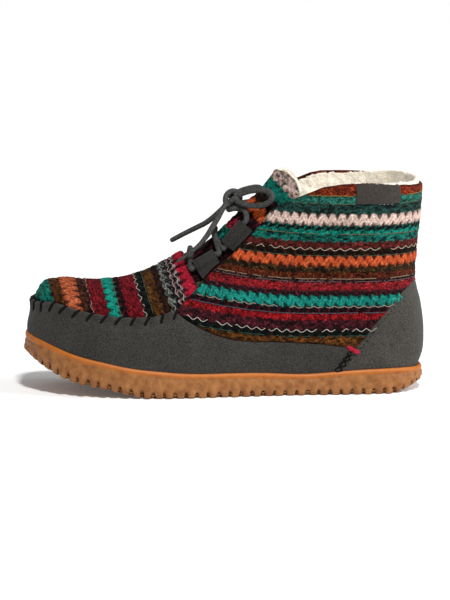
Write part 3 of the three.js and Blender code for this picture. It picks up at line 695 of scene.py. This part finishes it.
# A strand that goes from one edge of its row to the other and back, 1 along its middle
def strands(u, share, period, width):
    legs = []
    for way in (1, -1):
        off = (u + way * share * period / 2) / period
        legs.append(np.clip(1 - (np.abs(off - np.rint(off)) * period / width) ** 2, 0, 1))
    return np.maximum(*legs)


# Relief in mm and colour at u along a row and s down from the first stripe: the yarns' colours with painted shade and
# highlight that follow the stitches' relief
def knitLook(u, s, top, stripes):
    edges = np.r_[0, np.cumsum([row[0] for row in stripes])]
    wander = 1.6 * noise2(u / 14, s / 11, 3)
    cell = (u + wander) / stitchPitch
    tooth = 4 * np.abs(cell - np.rint(cell)) - 1  # rows bite into each other
    depth = top - s
    nearest = np.abs(depth[:, None] - edges[None, :]).argmin(axis=1)
    depth = depth + tooth * np.where(nearest % 2 == 0, 0.65, -0.65) * (nearest > 0)
    number = np.clip(np.searchsorted(edges, depth, side="right") - 1, 0, len(stripes) - 1)
    height = np.array([row[0] for row in stripes])[number]
    share = np.clip((depth - edges[number]) / height, 0, 1)
    main, dark, fleck = [np.array([linear(row[i]) for row in stripes])[number] for i in (2, 3, 4)]
    kinds = np.array([row[1] for row in stripes])[number]

    along = u + wander + number * 2.1 + 1.5 * noise2(u / 4.3, number * 3.7, 21)
    bend = 0.5 + 0.5 * np.sin(np.pi * (share - 0.5))
    double = np.maximum(strands(along, bend, stitchPitch, 1.25), 0.92 * strands(along - 2.1, bend, stitchPitch, 1.15))
    double *= 0.55 + 0.45 * np.sqrt(np.sin(np.pi * np.clip(share, 0.02, 0.98)))
    knots = np.hypot((cell - np.rint(cell)) * stitchPitch / 2.3, (share - 0.5) * height / 1.75)
    blob = np.clip(1.25 - knots, 0, 1)
    between = strands(along, share, stitchPitch, 0.9) * np.clip(2.2 * knots - 1.6, 0, 1)
    rows = (depth % 2.2) / 2.2
    fine = strands(along, rows, 2.9, 0.85)
    grain = noise2(u / 0.8, s / 0.8, 5)
    coarse = noise2(u / 2.6, s / 1.3, 6)
    patch = noise2(u / 11, s / 3.2, 12)

    relief = np.select(
        [kinds == "loops", kinds == "blobs", kinds == "specks"],
        [1.15 * double, 0.1 + 0.75 * blob, 0.5 * fine * coarse + 0.35 * coarse],
        0.2 + 0.45 * fine)
    relief += 0.3 * (grain - 0.5)
    # In loops, flat and specks rows the tone follows the relief: lighter along raised strands and across the middle of
    # loops rows, darker between strands. This is painted highlight and shade over the yarn's own mottle. In blobs rows
    # the dark blobs are black yarn.
    tone = np.select(
        [kinds == "loops", kinds == "blobs", kinds == "specks"],
        [0.2 * np.sin(np.pi * share) + 0.85 * double ** 0.8, 0.9 * between * (0.35 + 0.8 * coarse),
         np.clip(1.7 * coarse - 0.42 + 0.3 * fine, 0, 1)],
        np.clip(0.12 + 0.55 * fine + 0.9 * (coarse - 0.4), 0, 1))
    tone = tone * (0.72 + 0.5 * patch) * (0.75 + 0.5 * grain)
    color = dark + (main - dark) * np.clip(tone, 0, 1.15)[:, None]
    flecked = np.clip((noise2(u / 0.75, s / 0.75, 9) - 0.66) * 6, 0, 1) * np.clip(tone + 0.15, 0, 1)
    color = color + (fleck - color) * flecked[:, None]
    # Random gaps between stitches, sunk and painted dark as the shade inside them
    shadedHoles = np.clip((noise2(u / 1.5, s / 0.9, 14) - 0.74) * 7, 0, 1) * (kinds != "loops")
    return relief - 0.4 * shadedHoles, color * (1 - 0.75 * shadedHoles)[:, None]


def normalsOf(mesh):
    values = np.empty(len(mesh.vertices) * 3, np.float32)
    mesh.vertex_normals.foreach_get("vector", values)
    return values.reshape(-1, 3).astype(float)


def spotsOf(mesh):
    values = np.empty(len(mesh.vertices) * 3, np.float32)
    mesh.vertices.foreach_get("co", values)
    return values.reshape(-1, 3).astype(float)


def clothOf(mesh):
    values = np.empty(len(mesh.vertices) * 3, np.float32)
    mesh.attributes["cloth"].data.foreach_get("vector", values)
    return values.reshape(-1, 3).astype(float)


def putSpots(mesh, spots):
    mesh.vertices.foreach_set("co", np.asarray(spots, np.float32).ravel())
    mesh.update()


def putColor(mesh, color):
    layer = mesh.color_attributes.new("yarn", "FLOAT_COLOR", "POINT")
    layer.data.foreach_set("color", np.column_stack([color, np.ones(len(color))]).astype(np.float32).ravel())


def thickness(piece, value, offset=-1.0, rimOnly=False):
    made = piece.modifiers.new("wall", "SOLIDIFY")
    made.thickness = value
    made.offset = offset
    made.use_rim = True
    made.use_rim_only = rimOnly


# One knitted panel: rows laid along their stripes, cut to its outline and raised by its stitches
def knitPanel(name, cloth, polygon, look, lift, wall):
    piece = freshObject(name, laidSheet(cloth, polygon))
    mesh = piece.data
    spots, measures = spotsOf(mesh), clothOf(mesh)
    relief, color = knitLook(measures[:, 0], measures[:, 1], *look)
    depth = inside(polygon, spots[:, 0], spots[:, 2])
    edge = np.clip(depth / 1.6, 0, 1)
    raised = lift(spots) + relief * np.sqrt(edge) - 1.2 * (1 - edge) ** 2
    putSpots(mesh, rowFrame(spots + normalsOf(mesh) * raised[:, None]))
    putColor(mesh, color * (0.4 + 0.6 * np.clip(depth / 1.5 - 0.2, 0, 1))[:, None])  # painted shade along the panel's edge, where it dips into its seams
    thickness(piece, wall, rimOnly=True)
    return piece


# Thin yarns that lie on a panel between its rows, as one list of paths for each yarn
def threadPaths(cloth, polygon, top, threads, lift):
    made = []
    step = 1.1
    for down, zigzag, color in threads:
        across = np.arange(cloth["across"][0], cloth["across"][-1], step)
        level = top - down
        placeAt, turnAt = laidRows(**{**cloth, "rows": np.array([level - 2, level + 2]), "across": across})
        ends = [onLast(placeAt[k], turnAt[k], lift) for k in (0, 1)]
        cell = across / stitchPitch
        dip = np.clip(1 - 2.6 * np.abs(cell - np.rint(cell)), 0, 1) - 0.3
        share = 0.5 + (zigzag * dip + 0.35 * (noise2(across / 3, across * 0 + down, 4) - 0.5)) / 4
        line = ends[0] + (ends[1] - ends[0]) * share[:, None]
        seen = inside(polygon, line[:, 0], line[:, 2]) > 1.2
        seen &= (inside(tagField, line[:, 0], line[:, 2]) < 0) | (line[:, 1] > 0)
        broken = noise2(across / 2.2, across * 0 + down, 7) < (0.80 if zigzag else 0.72)
        run = []
        for spot, good in zip(line, seen & broken):
            if good:
                run.append(spot)
            else:
                if len(run) > 2:
                    made.append((color, rowFrame(run)))
                run = []
        if len(run) > 2:
            made.append((color, rowFrame(run)))
    return made


# Yarns as one mesh whose colour each path brings along
def sewThreads(name, paths, radius):
    vertices, faces, colors = [], [], []
    sides = 4
    for color, path in paths:
        path = np.asarray(path)
        ahead = np.gradient(path, axis=0)
        ahead /= np.linalg.norm(ahead, axis=1, keepdims=True)
        aside = np.cross(ahead, [0, 0, 1])
        aside /= np.maximum(1e-6, np.linalg.norm(aside, axis=1, keepdims=True))
        above = np.cross(aside, ahead)
        start = len(vertices)
        for angle in np.arange(sides) * 2 * np.pi / sides:
            vertices.extend(path + radius * (np.cos(angle) * aside + np.sin(angle) * above))
        count = len(path)

        def ring(k, i):
            return start + (k % sides) * count + i

        for k in range(sides):
            faces += [(ring(k, i), ring(k + 1, i), ring(k + 1, i + 1), ring(k, i + 1)) for i in range(count - 1)]
        faces += [tuple(ring(k, 0) for k in reversed(range(sides))), tuple(ring(k, count - 1) for k in range(sides))]
        colors += [linear(color)] * (sides * count)
    mesh = bpy.data.meshes.new(name)
    mesh.from_pydata([tuple(v) for v in vertices], [], faces)
    bm = bmesh.new()
    bm.from_mesh(mesh)
    bmesh.ops.recalc_face_normals(bm, faces=bm.faces)
    bm.to_mesh(mesh)
    bm.free()
    putColor(mesh, np.array(colors))
    piece = bpy.data.objects.new(name, mesh)
    bpy.context.scene.collection.objects.link(piece)
    for face in mesh.polygons:
        face.use_smooth = True
    return finish(piece, None, knitYarn)


fine = knit["finest"]


def underTag(spots):
    depth = np.where(spots[:, 1] < 0, inside(tagField, spots[:, 0], spots[:, 2]), -9)
    return -knit["tagSink"] * np.clip(depth / 1.5, 0, 1)


def makeKnit():
    threads = []
    rows = np.arange(30, 146, fine)
    for side, field, low, high in (("outer", "quarter", -200, 0), ("inner", "quarterInner", 0, 200)):
        cloth = {"coordinate": shaftCoordinate, "rows": rows, "across": np.linspace(low, high, int(200 / fine) + 1),
                 "middleTurn": 1.0, "halfTurn": 0.93, "places": (6.0, 18.0)}
        look = (shaftTop, shaftStripes)
        piece = knitPanel(f"knit_quarter_{side}", cloth, fields[field], look, underTag, knit["wall"])
        finish(piece, "upper", knitYarn)
        threads += threadPaths(cloth, fields[field], shaftTop, shaftThreads, knit["yarnLift"])

    def plugCoordinate(points):
        crown = lastPoint(np.linspace(0, 9, 200), 0)
        top = np.interp(points[..., 0], crown[:, 0], crown[:, 2])
        lean = 0.23 + 0.08 * np.clip((points[..., 0] - 60) / 40, 0, 1)
        return points[..., 0] - lean * np.maximum(0, top - points[..., 2])

    seam = sideLine("mocSeam")

    def plugLift(spots):
        drop = inside([*seam, (farRight, farUp), (farLeft, farUp)], spots[:, 0], spots[:, 2])
        return -knit["plugSink"] - knit["plugHem"] * np.clip(1 - drop / 4, 0, 1) ** 2

    cloth = {"coordinate": plugCoordinate, "rows": np.arange(-14, 112, fine), "across": np.arange(-62, 62, fine),
             "middleTurn": 0.0, "halfTurn": 0.5, "places": (0.0, 9.5)}
    flipped = [(plugTop - plugStart - along, zigzag, color) for along, zigzag, color in plugThreads]
    piece = knitPanel("knit_plug", cloth, fields["plug"], (plugTop, plugStripes[::-1]), plugLift, knit["wall"])
    finish(piece, "upper", knitYarn)
    threads += threadPaths(cloth, fields["plug"], plugTop, flipped, knit["plugYarnLift"])
    sewThreads("knit_threads", threads, knit["yarnRadius"])


makeKnit()
print("knit made")

# Suede: the moccasin wrap and the heel counter, in one skin each
suede = {
    "seamPitch": 9.4,  # between two stitches of the moccasin seam
    "vampCell": 1.3, "vampColumns": 280, "cell": 1.1,  # how fine the two skins are
    "rimRoom": 2.4, "counterLift": 1.2, "hide": 0.0014,
    "pucker": 1.3, "hemTuck": 2.6, "underCounter": 0.7,
}


# The moccasin seam round the toe from the outer to the inner side, evenly spaced, with its running length
def seamCurve():
    sides = []
    for side in (1, -1):
        points = []
        for place in np.linspace(0.7, 7.75, 500):
            turns = np.linspace(0, 0.5, 200)
            ring = lastPoint(place, side * turns)
            line = np.array(sideLine("mocSeam"))
            above = ring[:, 2] - np.interp(ring[:, 0], line[:, 0], line[:, 1])
            if above[0] > 0 and (above < 0).any():
                first = int(np.argmax(above < 0))
                share = above[first - 1] / (above[first - 1] - above[first])
                points.append(ring[first - 1] + (ring[first] - ring[first - 1]) * share)
        sides.append(points)
    curve = np.array(sides[0][::-1] + sides[1])
    run = np.r_[0, np.cumsum(np.linalg.norm(np.diff(curve, axis=0), axis=1))]
    even = np.arange(0, run[-1], 1.0)
    points = np.stack([np.interp(even, run, curve[:, i]) for i in range(3)], axis=1)
    middle = run[len(sides[0])]
    return points, even - middle


seamPoints, seamRun = seamCurve()


# The nearest place on the moccasin seam: running length from the toe, and distance
def alongSeam(spots):
    tree = kdtree.KDTree(len(seamPoints))
    for i, point in enumerate(seamPoints):
        tree.insert(point, i)
    tree.balance()
    found = [tree.find(spot) for spot in spots]
    return np.array([seamRun[f[1]] for f in found]), np.array([f[2] for f in found])


# A skin over whole rings of the last, its columns evenly spaced along each ring
def ringCloth(places, columns):
    turns = np.linspace(0, 2, 1201)
    points = lastPoint(places[:, None], turns[None, :])
    gaps = np.linalg.norm(np.diff(points, axis=1), axis=2)
    run = np.concatenate([np.zeros((len(places), 1)), np.cumsum(gaps, axis=1)], axis=1)
    shares = np.linspace(0, 1, columns + 1)
    turnAt = np.stack([np.interp(shares * run[i, -1], run[i], turns) for i in range(len(places))])
    spots = lastPoint(places[:, None], turnAt)

    def shape(i, j):
        return spots[j, i], np.stack([turnAt[j, i] * 100, places[j] * 10], axis=1)

    bm = layCloth(columns, len(places) - 1, shape)
    bmesh.ops.remove_doubles(bm, verts=bm.verts, dist=0.02)
    return bm


# Places on the last whose rings lie no further than step apart
def evenPlaces(first, last, step):
    fineSteps = np.linspace(first, last, 1500)
    rings = lastPoint(fineSteps[:, None], np.linspace(0, 2, 48)[None, :])
    moved = np.linalg.norm(np.diff(rings, axis=0), axis=2).max(axis=1)
    run = np.r_[0, np.cumsum(moved)]
    return np.interp(np.linspace(0, run[-1], int(run[-1] / step) + 2), run, fineSteps)


# The hide's slow waves in mm
def unevenness(spots):
    x, y, z = spots.T
    return 0.9 * (noise2(x / 28, z / 16 + y / 40, 2) - 0.5) + 0.35 * (noise2(x / 9, z / 7 + y / 20, 4) - 0.5)


def makeSuede():
    bm = ringCloth(evenPlaces(-1, 12.8, suede["vampCell"]), suede["vampColumns"])
    cutAlong(bm, fields["vamp"])
    outward(bm)
    piece = freshObject("suede_vamp", bm)
    mesh = piece.data
    spots, normals = spotsOf(mesh), normalsOf(mesh)
    run, away = alongSeam(spots)
    pucker = 0.5 + 0.5 * np.cos(2 * np.pi * run / suede["seamPitch"])  # 1 between two stitches
    lift = suede["pucker"] * np.exp(-((away - 1.6) / 2.2) ** 2) * (0.45 + 0.9 * pucker)
    lift -= 1.1 * np.clip(1 - away / 1.1, 0, 1)  # the rolled edge
    lift += 0.6 * (pucker - 0.5) * np.exp(-((away - 5) / 4.5) ** 2)
    hem = inside([*sideLine("quarterHem"), (farRight, farUp), (farLeft, farUp)], spots[:, 0], spots[:, 2])
    lift -= suede["hemTuck"] * np.clip((np.where(spots[:, 0] > 100, hem, -9) + 0.6) / 2.4, 0, 1)
    lift += unevenness(spots)
    under = inside([*sideLine("counterSeam"), (farRight, 0)], spots[:, 0], spots[:, 2])
    lift -= suede["underCounter"] * np.clip(1 + under / 5, 0, 1) ** 2
    putSpots(mesh, rowFrame(heldIn(spots + normals * lift[:, None], suede["rimRoom"])))
    thickness(piece, suede["hide"])
    finish(piece, "vamp_suede", shadedVampSuede)

    cloth = {"coordinate": lambda p: p[..., 2], "rows": np.arange(2, 80, suede["cell"]),
             "across": np.arange(-112, 112, suede["cell"]), "middleTurn": 1.0, "halfTurn": 0.6, "places": (8.0, 18.0)}
    piece = freshObject("suede_counter", laidSheet(cloth, fields["counter"]))
    mesh = piece.data
    spots, normals = spotsOf(mesh), normalsOf(mesh)
    depth = inside([*sideLine("counterSeam"), (farRight, 0)], spots[:, 0], spots[:, 2])
    groove = np.exp(-((depth - 2.2) / 0.7) ** 2)  # the row of stitches along its edge
    lift = suede["counterLift"] - 0.5 * np.clip(1 - depth / 0.8, 0, 1) ** 2 - 0.3 * groove + unevenness(spots)
    putSpots(mesh, rowFrame(heldIn(spots + normals * lift[:, None], suede["rimRoom"])))
    thickness(piece, suede["hide"])
    finish(piece, "heel_counter", litCounterSuede)


makeSuede()
print("suede made")

# Sole
sole = {
    "bandHeight": 3.1, "lugInset": 2.0, "lugPitch": 7.4, "treadMargin": 14, "treadPitch": 13, "treadDepth": 2.0,
    "toeSag": 3.2,  # how much lower the lugs hang under the toe
    "columns": 1080,
}


# The sole's outline in plan at even steps, from the heel round the inner side, with its inward direction
def outlineEven(count):
    turns = np.linspace(-1, 1, 6001)
    edge = outlineEdge(turns)
    run = np.r_[0, np.cumsum(np.linalg.norm(np.diff(edge, axis=0), axis=1))]
    turnAt = np.interp(np.arange(count + 1) / count * run[-1], run, turns)
    points = outlineEdge(turnAt)
    ahead = np.roll(points[:-1], -4, axis=0) - np.roll(points[:-1], 4, axis=0)
    way = ahead / np.linalg.norm(ahead, axis=1, keepdims=True)
    inward = np.stack([-way[:, 1], way[:, 0]], axis=1)
    return points, np.vstack([inward, inward[:1]]), np.arange(count + 1) / count * run[-1], run[-1]


def makeSole():
    points, inward, run, whole = outlineEven(sole["columns"])
    lugs = 2 * round(whole / sole["lugPitch"] / 2)
    phase = run / whole * lugs  # a whole number at the middle of each lug
    big = 0.5 + 0.5 * np.cos(np.pi * (phase - 0.5))  # every other notch is the larger one

    def ring(inset, height):
        spots = points + inward * np.broadcast_to(inset, run.shape)[:, None]
        return np.column_stack([spots, height(points[:, 0])])

    def rim(x):
        return soleHeight(1, x)

    def band(x):
        return rim(x) - sole["bandHeight"] - 1.6 * np.exp(-(x / 9) ** 2)

    def bottom(x):
        return soleHeight(3, x) - sole["toeSag"] * np.exp(-((x - 28) / 20) ** 2)

    towards = np.column_stack([np.clip(points[:, 0], 32, 233), swing(points[:, 0])])

    # 1 in the gap between two lugs, over a width in mm
    def notchAt(widest):
        off = np.abs(phase - np.floor(phase) - 0.5) * whole / lugs
        return np.clip((widest * (0.8 + 0.35 * big) / 2 - off) / 0.7 + 0.5, 0, 1)

    # The lugs' side at a share of the way up from the ground: leaning facets, cut by the notches
    def lug(share):
        lean = 0.16 * np.sin(2 * np.pi * share + np.floor(phase + 0.5) * 2.4)
        lobe = 0.5 + 0.5 * np.cos(2 * np.pi * (phase + lean))
        facet = 2 * np.abs((phase * 0.5 + 0.6 * share) % 1 - 0.5)
        notch = notchAt(1.7 + 1.7 * np.clip((0.24 - share) / 0.24, 0, 1)) * np.clip((0.34 - share) / 0.12, 0, 1)
        swell = 0.9 * np.sin(np.pi * np.clip(share, 0, 1)) ** 0.7
        inset = 1.7 - swell + 0.75 * (1 - lobe) * np.sin(np.pi * np.clip(share + 0.12, 0, 1))
        inset = inset - 0.9 * facet * (1 - share) + 3.4 * notch + 0.5 * np.clip(0.12 - share, 0, 1) / 0.12
        return ring(inset, lambda x: (1 - share) * bottom(x) + share * band(x) - 0.5 * (1 - lobe) * (share > 0.9))

    # Rings that close over the boot's middle line
    def inner(share, height):
        start = points + inward * sole["lugInset"]
        spots = start + (towards - start) * share
        return np.column_stack([spots, height(spots[:, 0])])

    def tread(share):
        made = inner(share, bottom)
        reach = np.linalg.norm(made[:, :2] - points, axis=1)
        groove = np.cos(2 * np.pi * (made[:, 0] - 21) / sole["treadPitch"])
        cut = np.clip((groove - 0.75) / 0.15, 0, 1) * np.clip((reach - sole["treadMargin"]) / 1.5, 0, 1)
        made[:, 2] += sole["treadDepth"] * cut + 2.8 * notchAt(3.2) * np.clip(1.4 - (reach - 2) / 6, 0, 1)
        return made

    rings = [inner(1.0, lambda x: rim(x) - 7.5), inner(0.5, lambda x: rim(x) - 7.5), inner(0.2, lambda x: rim(x) - 7.0),
             ring(7.5, lambda x: rim(x) - 2.5), ring(5.0, lambda x: rim(x) - 0.9),
             ring(2.6, rim), ring(1.9, lambda x: rim(x) - 0.1), ring(1.5, lambda x: rim(x) - 0.5),
             ring(1.2, lambda x: rim(x) - 1.3), ring(1.05, lambda x: (rim(x) + band(x)) / 2),
             ring(1.1, lambda x: band(x) + 1.0), ring(1.35, lambda x: band(x) + 0.35)]
    firstLug = len(rings)
    rings += [lug(share) for share in (0.97, 0.90, 0.80, 0.69, 0.58, 0.48, 0.40, 0.33, 0.26, 0.18, 0.10, 0.03)]
    smooth = len(rings)
    rings += [tread(share) for share in np.linspace(0.02, 1.0, 34)]
    table = np.array(rings)
    bm = layCloth(sole["columns"], len(rings) - 1, lambda i, j: (table[j, i], np.stack([i, j], axis=1)))
    bmesh.ops.remove_doubles(bm, verts=bm.verts, dist=0.03)
    bmesh.ops.recalc_face_normals(bm, faces=bm.faces)
    piece = freshObject("gum_sole", bm)
    mesh = piece.data
    level = clothOf(mesh)[:, 1]
    spots = spotsOf(mesh)
    lugged = np.clip(level - firstLug + 1.2, 0, 1)
    facet = noise2(spots[:, 0] / 3.4 + spots[:, 1] / 2.9, spots[:, 2] / 2.6, 8) - 0.5
    spots = spots + normalsOf(mesh) * (0.9 * facet * lugged * (level < smooth))[:, None]
    spots[:, 2] = np.maximum(spots[:, 2], 0.0)
    putSpots(mesh, rowFrame(spots))
    layer = mesh.attributes.new("lug", "FLOAT", "POINT")
    layer.data.foreach_set("value", lugged.astype(np.float32))
    finish(piece, "outsole", gumSole)


makeSole()
print("sole made")


# Fleece inside, tongue and insole
fleece = {
    "cell": 1.7, "columns": 200, "tongueCell": 1.4,
    "depth": 5.0, "tongueDepth": 6.0, "curl": 1.2,  # from the last's surface, in mm
    "wall": 0.0032, "tongueWall": 0.0018,
}


# The pile's tufts, 0 to 1.6
def curls(spots):
    x, y, z = spots.T
    return noise2(x / 3 + y / 3, z / 3, 1) + 0.6 * noise2(x / 6, z / 5 + y / 5, 6)


def makeInside():
    bm = ringCloth(evenPlaces(0.6, 18, fleece["cell"]), fleece["columns"])
    cutAlong(bm, fields["lining"], fields["liningInner"])
    outward(bm)
    piece = freshObject("fleece_lining", bm)
    mesh = piece.data
    spots, normals = spotsOf(mesh), normalsOf(mesh)
    top = np.clip((spots[:, 2] - 128) / 10, 0, 1) * np.clip((spots[:, 0] - 165) / 12, 0, 1)
    crowned = spots - normals * (fleece["depth"] - 1.1 * top + fleece["curl"] * curls(spots))[:, None]
    crowned[:, 2] += top * (0.4 + 1.6 * np.clip((spots[:, 0] - 236) / 12, 0, 1) * curls(spots))
    putSpots(mesh, rowFrame(crowned))
    thickness(piece, fleece["wall"], 1.0)
    finish(piece, "upper", creamPile)

    def upThroat(points):
        return 0.70 * points[..., 0] + 0.71 * points[..., 2]

    stripes = [(14.5, "specks", "#b79d92", "#1f1918", "#d8c4b8"), (9.5, "specks", "#0c6658", "#06211e", "#238a76"),
               (8.0, "blobs", "#2f1812", "#080606", "#4d241b"), (9.0, "loops", "#b04a22", "#210e09", "#cf6832"),
               (9.0, "blobs", "#4a1022", "#08060a", "#6a1728"), (8.0, "specks", "#7d1526", "#220a0e", "#a22a38"),
               (8.0, "specks", "#0c6658", "#06211e", "#238a76"), (60.0, "blobs", "#34141a", "#0a0709", "#5c1e28")]
    cloth = {"coordinate": upThroat, "rows": np.arange(118, 232, fine), "across": np.arange(-34, 34, fine),
             "middleTurn": 0.0, "halfTurn": 0.4, "places": (6.0, 18.0)}
    piece = knitPanel("knit_tongue", cloth, fields["tongue"], (229, stripes),
                      lambda spots: np.full(len(spots), -knit["tongueSink"]), knit["tongueWall"])
    finish(piece, "tongue", knitYarn)
    cloth.update(rows=np.arange(118, 232, fleece["tongueCell"]), across=np.arange(-34, 34, fleece["tongueCell"]))
    back = freshObject("fleece_tongue", laidSheet(cloth, sideLine("tongue", 1.2)))
    spots, normals = spotsOf(back.data), normalsOf(back.data)
    putSpots(back.data, rowFrame(spots - normals * (fleece["tongueDepth"] + curls(spots))[:, None]))
    thickness(back, fleece["tongueWall"], 1.0)
    finish(back, "tongue", creamPile)

    bm = bmesh.new()
    bm.from_mesh(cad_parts["insole"].data)
    bmesh.ops.remove_doubles(bm, verts=bm.verts, dist=1e-6)
    bmesh.ops.subdivide_edges(bm, edges=bm.edges, cuts=2, use_grid_fill=True)
    finish(freshObject("insole_pile", bm), "insole", creamPile)


makeInside()
print("inside made")


# Tabs and tag: copies of their solids with rounded edges
def dressedCopy(cad, name, rounding, material):
    bm = bmesh.new()
    bm.from_mesh(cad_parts[cad].data)
    bmesh.ops.remove_doubles(bm, verts=bm.verts, dist=1e-6)
    bmesh.ops.dissolve_limit(bm, angle_limit=math.radians(4), verts=bm.verts, edges=bm.edges)
    sharp = [e for e in bm.edges if e.calc_face_angle(0) > math.radians(35)]
    bmesh.ops.bevel(bm, geom=sharp, offset=rounding / 1000, affect="EDGES", segments=2, profile=0.5, material=-1,
                    clamp_overlap=True)
    piece = freshObject(name, bm)
    return finish(piece, cad, material)


def makeTrim():
    for side in ("outer", "inner"):
        for tab in tabs:
            dressedCopy(f"lace_tab_{side}_{tab}", f"suede_tab_{side}_{tab}", 0.3, tabHide)
    dressedCopy("side_tag", "bare_tag", 0.25, suedeHide("tag_webbing", "#26221f", "#3d3834"))


makeTrim()
print("tabs and tag made")


# Stitches, laid on the finished pieces
threadRadii = {"moccasin": 0.0009, "barTack": 0.00095, "cross": 0.00055, "tag": 0.00028, "counter": 0.00022}


def surfaceTree(names):
    vertices, faces = [], []
    for name in names:
        mesh = bpy.data.objects[name].data
        start = len(vertices)
        vertices += [v.co.copy() for v in mesh.vertices]
        faces += [[start + i for i in f.vertices] for f in mesh.polygons]
    return BVHTree.FromPolygons(vertices, faces)


# A thread over a surface: points in the shoe's mm dropped on it from outside, with both ends sunk
def stitch(tree, spots, out, lift):
    path = []
    for spot, share in zip(spots, np.linspace(0, 1, len(spots))):
        start = Vector(rowFrame(spot + out * 9))
        hit = tree.ray_cast(start, -Vector(out), 0.02)[0]
        if hit is None:
            return None
        path.append(np.array(hit) + out * (lift * np.sin(np.pi * share) ** 0.35 - 0.35) / 1000)
    return path


# The direction away from the boot's middle line
def outFrom(spot):
    centre = np.array([np.clip(spot[0], 34, 225), swing(spot[0]), min(spot[2], 30) if spot[0] < 130 else spot[2]])
    out = spot - centre
    return out / np.linalg.norm(out)


def sewOn(name, paths, radius, material):
    piece = meshOf(cordCurve(name, [p for p in paths if p], radius, 2))
    finish(piece, None, material)


def makeStitches():
    tree = surfaceTree(["suede_vamp", "knit_plug"])
    moccasin = []
    number = int((seamRun[-1] - seamRun[0]) / 2 / suede["seamPitch"]) + 1
    for run in (np.arange(-number, number) + 0.5) * suede["seamPitch"]:
        if not seamRun[0] + 4 < run < seamRun[-1] - 4:
            continue
        at, ahead = (np.array([np.interp(r, seamRun, seamPoints[:, i]) for i in range(3)]) for r in (run, run + 2))
        ahead = (ahead - at) / np.linalg.norm(ahead - at)
        out = outFrom(at)
        out = out - ahead * out.dot(ahead)
        out /= np.linalg.norm(out)
        down = np.cross(ahead, out)
        down *= -np.sign(down[2])
        lean = -np.sign(ahead[0]) * ahead * np.clip((abs(run) - 20) / 22, -0.4, 1)  # towards the toe on both sides
        spots = [at + down * t + lean * 0.6 * (t - 1) for t in np.linspace(-0.8, 5.3, 12)]
        moccasin.append(stitch(tree, spots, out, 0.75))
    sewOn("moccasin_stitches", moccasin, threadRadii["moccasin"], blackThread)

    tree = surfaceTree(["suede_counter", "suede_vamp", "knit_quarter_outer", "knit_quarter_inner"])
    for side in ("outer", "inner"):
        sign = -1 if side == "outer" else 1

        # A stitch between two corners seen from the side
        def across(corners, steps=9, lift=0.6):
            line = [np.array(corners[0]) + (np.array(corners[1]) - corners[0]) * t for t in np.linspace(0, 1, steps)]
            spots = [np.array([x, sign * 34.0, z]) for x, z in line]
            return stitch(tree, spots, np.array([0.0, sign, 0.0]), lift)

        bars = [across([(212.4, 32.4), (219.6, 28.9)], 9, 1.0), across([(212.8, 31.2), (219.3, 28.0)], 9, 0.9)]
        sewOn(f"bar_tack_{side}", bars, threadRadii["barTack"], redThread)
        crosses = []
        for n in range(4):
            x, z = 213.5 - 2.6 * n, 25.6 - 3.6 * n
            crosses += [across([(x - 3.0, z - 0.6), (x + 2.4, z + 1.6)]),
                        across([(x - 1.4, z + 2.6), (x + 0.6, z - 2.4)])]
        sewOn(f"cross_stitches_{side}", crosses, threadRadii["cross"], blackThread)
        if side == "outer":
            rows = [across([(232.6 + 2.6 * n, 126.6), (234.6 + 2.6 * n, 126.5)], 4, 1.2) for n in range(4)]
            sewOn("tag_stitches", rows, threadRadii["tag"], greyThread)
        edge = np.array(sideLine("counterSeam", 1.8, -1.8)[1:-1])
        run = np.r_[0, np.cumsum(np.hypot(*np.diff(edge, axis=0).T))]
        rows = []
        for start in np.arange(2, run[-1] - 12, 3.2):
            ends = [(np.interp(r, run, edge[:, 0]), np.interp(r, run, edge[:, 1])) for r in (start, start + 2.1)]
            if ends[1][0] < 258:
                rows.append(across(ends, 4, 0.35))
        sewOn(f"counter_stitches_{side}", rows, threadRadii["counter"], blackThread)


makeStitches()
print("stitches made")


# Floor and soft light
stage = {
    "floorSize": 60, "paper": 0.93, "paperGlow": 0.06, "sky": 0.3,
    "lights": {  # kind, direction or place in metres, softness as an angle or a size, strength
        "key": ("SUN", (0.12, -0.8, 1.12), math.radians(7), 2.8),
        "side": ("AREA", (1.25, -0.35, 0.8), 0.9, 16),
    },
}


def makeStage():
    bm = bmesh.new()
    bmesh.ops.create_grid(bm, x_segments=1, y_segments=1, size=stage["floorSize"])
    floor = freshObject("floor", bm)
    paper = blank("studio_paper")  # matt white paper
    surface(paper, {"Base Color": (*[stage["paper"]] * 3, 1), "Roughness": 0.9, "Emission Color": (1, 1, 1, 1),
                    "Emission Strength": stage["paperGlow"]})
    floor.data.materials.append(paper)
    for name, (kind, spot, size, power) in stage["lights"].items():
        data = bpy.data.lights.new(name, kind)
        if kind == "SUN":
            data.angle = size
        else:
            data.size = size
        data.energy = power
        lamp = bpy.data.objects.new(name, data)
        lamp.location = spot
        lamp.rotation_euler = (Vector(spot) - Vector((0, 0, 0.05))).to_track_quat("Z", "Y").to_euler()
        bpy.context.scene.collection.objects.link(lamp)
    world = bpy.data.worlds.new("studio")
    world.use_nodes = True
    sky = world.node_tree.nodes["Background"]
    sky.inputs["Color"].default_value = (1, 1, 1, 1)
    sky.inputs["Strength"].default_value = stage["sky"]
    bpy.context.scene.world = world
    bpy.context.scene.view_settings.view_transform = "Standard"


makeStage()
